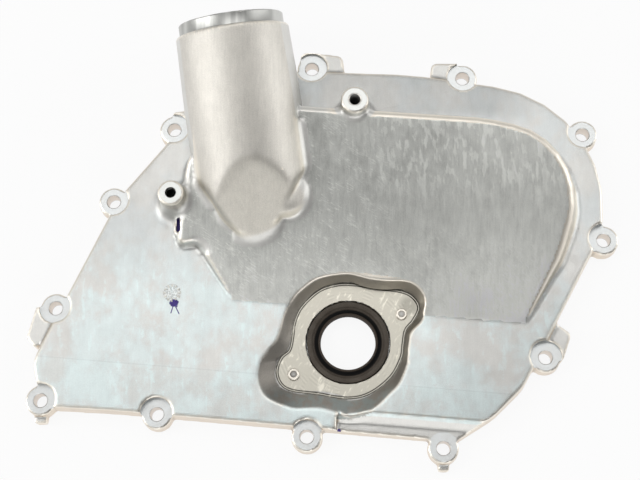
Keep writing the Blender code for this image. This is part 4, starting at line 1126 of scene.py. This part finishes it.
def tick_ring(material):
    """A ring of tapered ticks from Geometry Nodes, realised as one plain mesh."""
    tree = bpy.data.node_groups.new("tick_ring", "GeometryNodeTree")
    tree.interface.new_socket("Mesh", in_out="OUTPUT", socket_type="NodeSocketGeometry")
    place = upright(*STAMP_PLACE).translation + Vector((0.0, 0.0, CLOCK_FOOT * MM))
    values = {
        "Ticks": ("NodeSocketInt", CLOCK_TICKS),
        "Radius": ("NodeSocketFloat", CLOCK_RADIUS),
        "Size": ("NodeSocketVector", CLOCK_TICK),
        "Place": ("NodeSocketVector", place),
        "Seed": ("NodeSocketInt", CLOCK_SEED),
    }
    named = {}
    for name, (kind, value) in values.items():
        socket = tree.interface.new_socket(name, in_out="INPUT", socket_type=kind)
        named[socket.identifier] = value

    given = add_node(tree, "NodeGroupInput", {}, {}).outputs
    inputs = {"Vertices": given["Ticks"], "Radius": given["Radius"]}
    spots = add_node(tree, "GeometryNodeMeshCircle", {}, inputs)
    inputs = {"Vertices": 4, "Radius Top": TICK_WIDTHS[0], "Radius Bottom": TICK_WIDTHS[1], "Depth": 1.0}
    tick = add_node(tree, "GeometryNodeMeshCone", {}, inputs)
    inputs = {"Geometry": tick.outputs["Mesh"], "Rotation": (0.0, 0.0, math.radians(45.0))}
    square = add_node(tree, "GeometryNodeTransform", {}, inputs)
    there = add_node(tree, "GeometryNodeInputPosition", {}, {}).outputs[0]
    turned = add_node(tree, "FunctionNodeAlignRotationToVector", {"axis": "Y"}, {"Vector": there})
    inputs = {2: TICK_LENGTHS[0], 3: TICK_LENGTHS[1], "Seed": given["Seed"]}
    length = add_node(tree, "FunctionNodeRandomValue", {"data_type": "FLOAT"}, inputs)
    uneven = add_node(tree, "ShaderNodeCombineXYZ", {}, {0: 1.0, 1: length.outputs[1], 2: 1.0})
    inputs = {0: given["Size"], 1: uneven.outputs[0]}
    size = add_node(tree, "ShaderNodeVectorMath", {"operation": "MULTIPLY"}, inputs)
    inputs = {
        "Points": spots.outputs[0],
        "Instance": square.outputs[0],
        "Rotation": turned.outputs[0],
        "Scale": size.outputs[0],
    }
    ticks = add_node(tree, "GeometryNodeInstanceOnPoints", {}, inputs)
    inputs = {"Geometry": ticks.outputs[0], "Translation": given["Place"]}
    placed = add_node(tree, "GeometryNodeTransform", {}, inputs)
    solid = add_node(tree, "GeometryNodeRealizeInstances", {}, {0: placed.outputs[0]})
    inputs = {"Geometry": solid.outputs[0], "Material": material}
    coated = add_node(tree, "GeometryNodeSetMaterial", {}, inputs)
    add_node(tree, "NodeGroupOutput", {}, {0: coated.outputs[0]})

    draft = new_piece("tick_draft", bpy.data.meshes.new("tick_draft"))
    grown = draft.modifiers.new("tick_ring", "NODES")
    grown.node_group = tree
    for identifier, value in named.items():
        grown[identifier] = value
    mesh = finished_mesh(draft)
    bpy.data.objects.remove(draft, do_unlink=True)
    return mesh


def stamped_aluminium():
    finish = Finish("stamped_aluminium", 1.0, 0.4)
    grit = finish.noise(0.6, detail=3.0)
    colour = finish.shade(finish.mix(CLOCK_PALE, CLOCK_GREY, grit), grit * 0.2 + 0.9)
    finish.feed(Base_Color=colour, Roughness=grit * 0.2 + 0.32)
    return finish.material


clock = new_piece("date_clock", tick_ring(stamped_aluminium()))
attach(clock, "root")

# The cover lies on a plain white studio table, flat on its mating face, under a wide soft box
# overhead and paler panels at the sides. The camera looks down from in front.
CAMERA_FROM_SEAL = Vector((4.07, -144.41, 749.0)) * MM
CAMERA_FORWARD = Vector((-0.02364, 0.25766, -0.96595))
CAMERA_UP = Vector((0.0063, 0.96623, 0.25759))
CAMERA_LENS = 84.375
TABLE_SIZE = 6.0
TABLE_WHITE = (0.85, 0.85, 0.85, 1.0)
TABLE_GLOW = 0.90
SHADE_TOWARDS = Vector((0.34, -0.30, 0.88))
SHADE_SPREAD = (0.80, 0.98)
SKY_LEVELS = (0.60, 0.10)


def studio_table():
    """A white table that glows evenly towards the camera and in reflections."""
    made = bmesh.new()
    bmesh.ops.create_grid(made, x_segments=1, y_segments=1, size=TABLE_SIZE / 2)
    mesh = bpy.data.meshes.new("studio_table")
    made.to_mesh(mesh)
    made.free()
    material = bpy.data.materials.new("white_table")
    material.use_nodes = True
    tree = material.node_tree
    cloth = tree.nodes["Principled BSDF"]
    cloth.inputs["Base Color"].default_value = TABLE_WHITE
    cloth.inputs["Roughness"].default_value = 0.9
    path = add_node(tree, "ShaderNodeLightPath", {}, {}).outputs
    inputs = {0: path["Is Camera Ray"], 1: path["Is Glossy Ray"]}
    seen = add_node(tree, "ShaderNodeMath", {"operation": "MAXIMUM"}, inputs)
    inputs = {0: seen.outputs[0], 1: TABLE_GLOW}
    share = add_node(tree, "ShaderNodeMath", {"operation": "MULTIPLY"}, inputs)
    glow = add_node(tree, "ShaderNodeEmission", {}, {})
    inputs = {0: share.outputs[0], 1: cloth.outputs[0], 2: glow.outputs[0]}
    blend = add_node(tree, "ShaderNodeMixShader", {}, inputs)
    tree.links.new(blend.outputs[0], tree.nodes["Material Output"].inputs["Surface"])
    table = new_piece("studio_table", mesh)
    table.data.materials.append(material)
    return table


def soft_box(name, place, aim, size, power):
    """A rectangular lamp that stands at one place and looks towards another."""
    light = bpy.data.lights.new(name, "AREA")
    light.shape = "RECTANGLE"
    light.size, light.size_y = size
    light.energy = power
    lamp = bpy.data.objects.new(name, light)
    bpy.context.scene.collection.objects.link(lamp)
    lamp.location = place
    lamp.rotation_euler = (Vector(aim) - Vector(place)).to_track_quat("-Z", "Y").to_euler()
    return lamp


def studio_world():
    """A white backdrop for the camera, and a softer sky for the cover with one darker patch."""
    world = bpy.data.worlds.new("studio_world")
    bpy.context.scene.world = world
    world.use_nodes = True
    tree = world.node_tree
    path = add_node(tree, "ShaderNodeLightPath", {}, {}).outputs
    sky = add_node(tree, "ShaderNodeTexCoord", {}, {}).outputs
    inputs = {0: sky["Generated"], 1: SHADE_TOWARDS.normalized()}
    towards = add_node(tree, "ShaderNodeVectorMath", {"operation": "DOT_PRODUCT"}, inputs)
    limits = dict(enumerate((*SHADE_SPREAD, *SKY_LEVELS), start=1))
    inputs = {0: towards.outputs["Value"], **limits}
    shade = add_node(tree, "ShaderNodeMapRange", {"interpolation_type": "SMOOTHSTEP"}, inputs)
    inputs = {0: path["Is Camera Ray"], 3: shade.outputs[0], 4: 1.0}
    level = add_node(tree, "ShaderNodeMapRange", {}, inputs)
    backdrop = tree.nodes["Background"]
    backdrop.inputs["Color"].default_value = (1.0, 1.0, 1.0, 1.0)
    tree.links.new(level.outputs[0], backdrop.inputs["Strength"])


studio_table()
studio_world()
soft_box("over_box", (0.05, 0.5, 1.6), (0.0, 0.0, 0.0), (1.1, 0.7), 3.4)
soft_box("left_box", (-1.3, -0.1, 0.9), (0.0, 0.0, 0.0), (0.7, 1.6), 7.6)
soft_box("right_box", (1.4, 0.3, 0.6), (0.0, 0.0, 0.0), (0.7, 1.4), 4.8)
soft_box("front_box", (0.2, -1.5, 0.6), (0.0, 0.0, 0.0), (1.6, 0.5), 4.0)

camera = bpy.data.objects.new("camera", bpy.data.cameras.new("camera"))
bpy.context.scene.collection.objects.link(camera)
right = CAMERA_FORWARD.cross(CAMERA_UP).normalized()
above = right.cross(CAMERA_FORWARD).normalized()
turn = Matrix((right, above, -CAMERA_FORWARD.normalized())).transposed().to_4x4()
camera.matrix_world = Matrix.Translation(SEAL_AXIS + CAMERA_FROM_SEAL) @ turn
camera.data.lens = CAMERA_LENS
camera.data.clip_start = 0.05
bpy.context.scene.camera = camera
bpy.context.scene.view_settings.view_transform = "Standard"
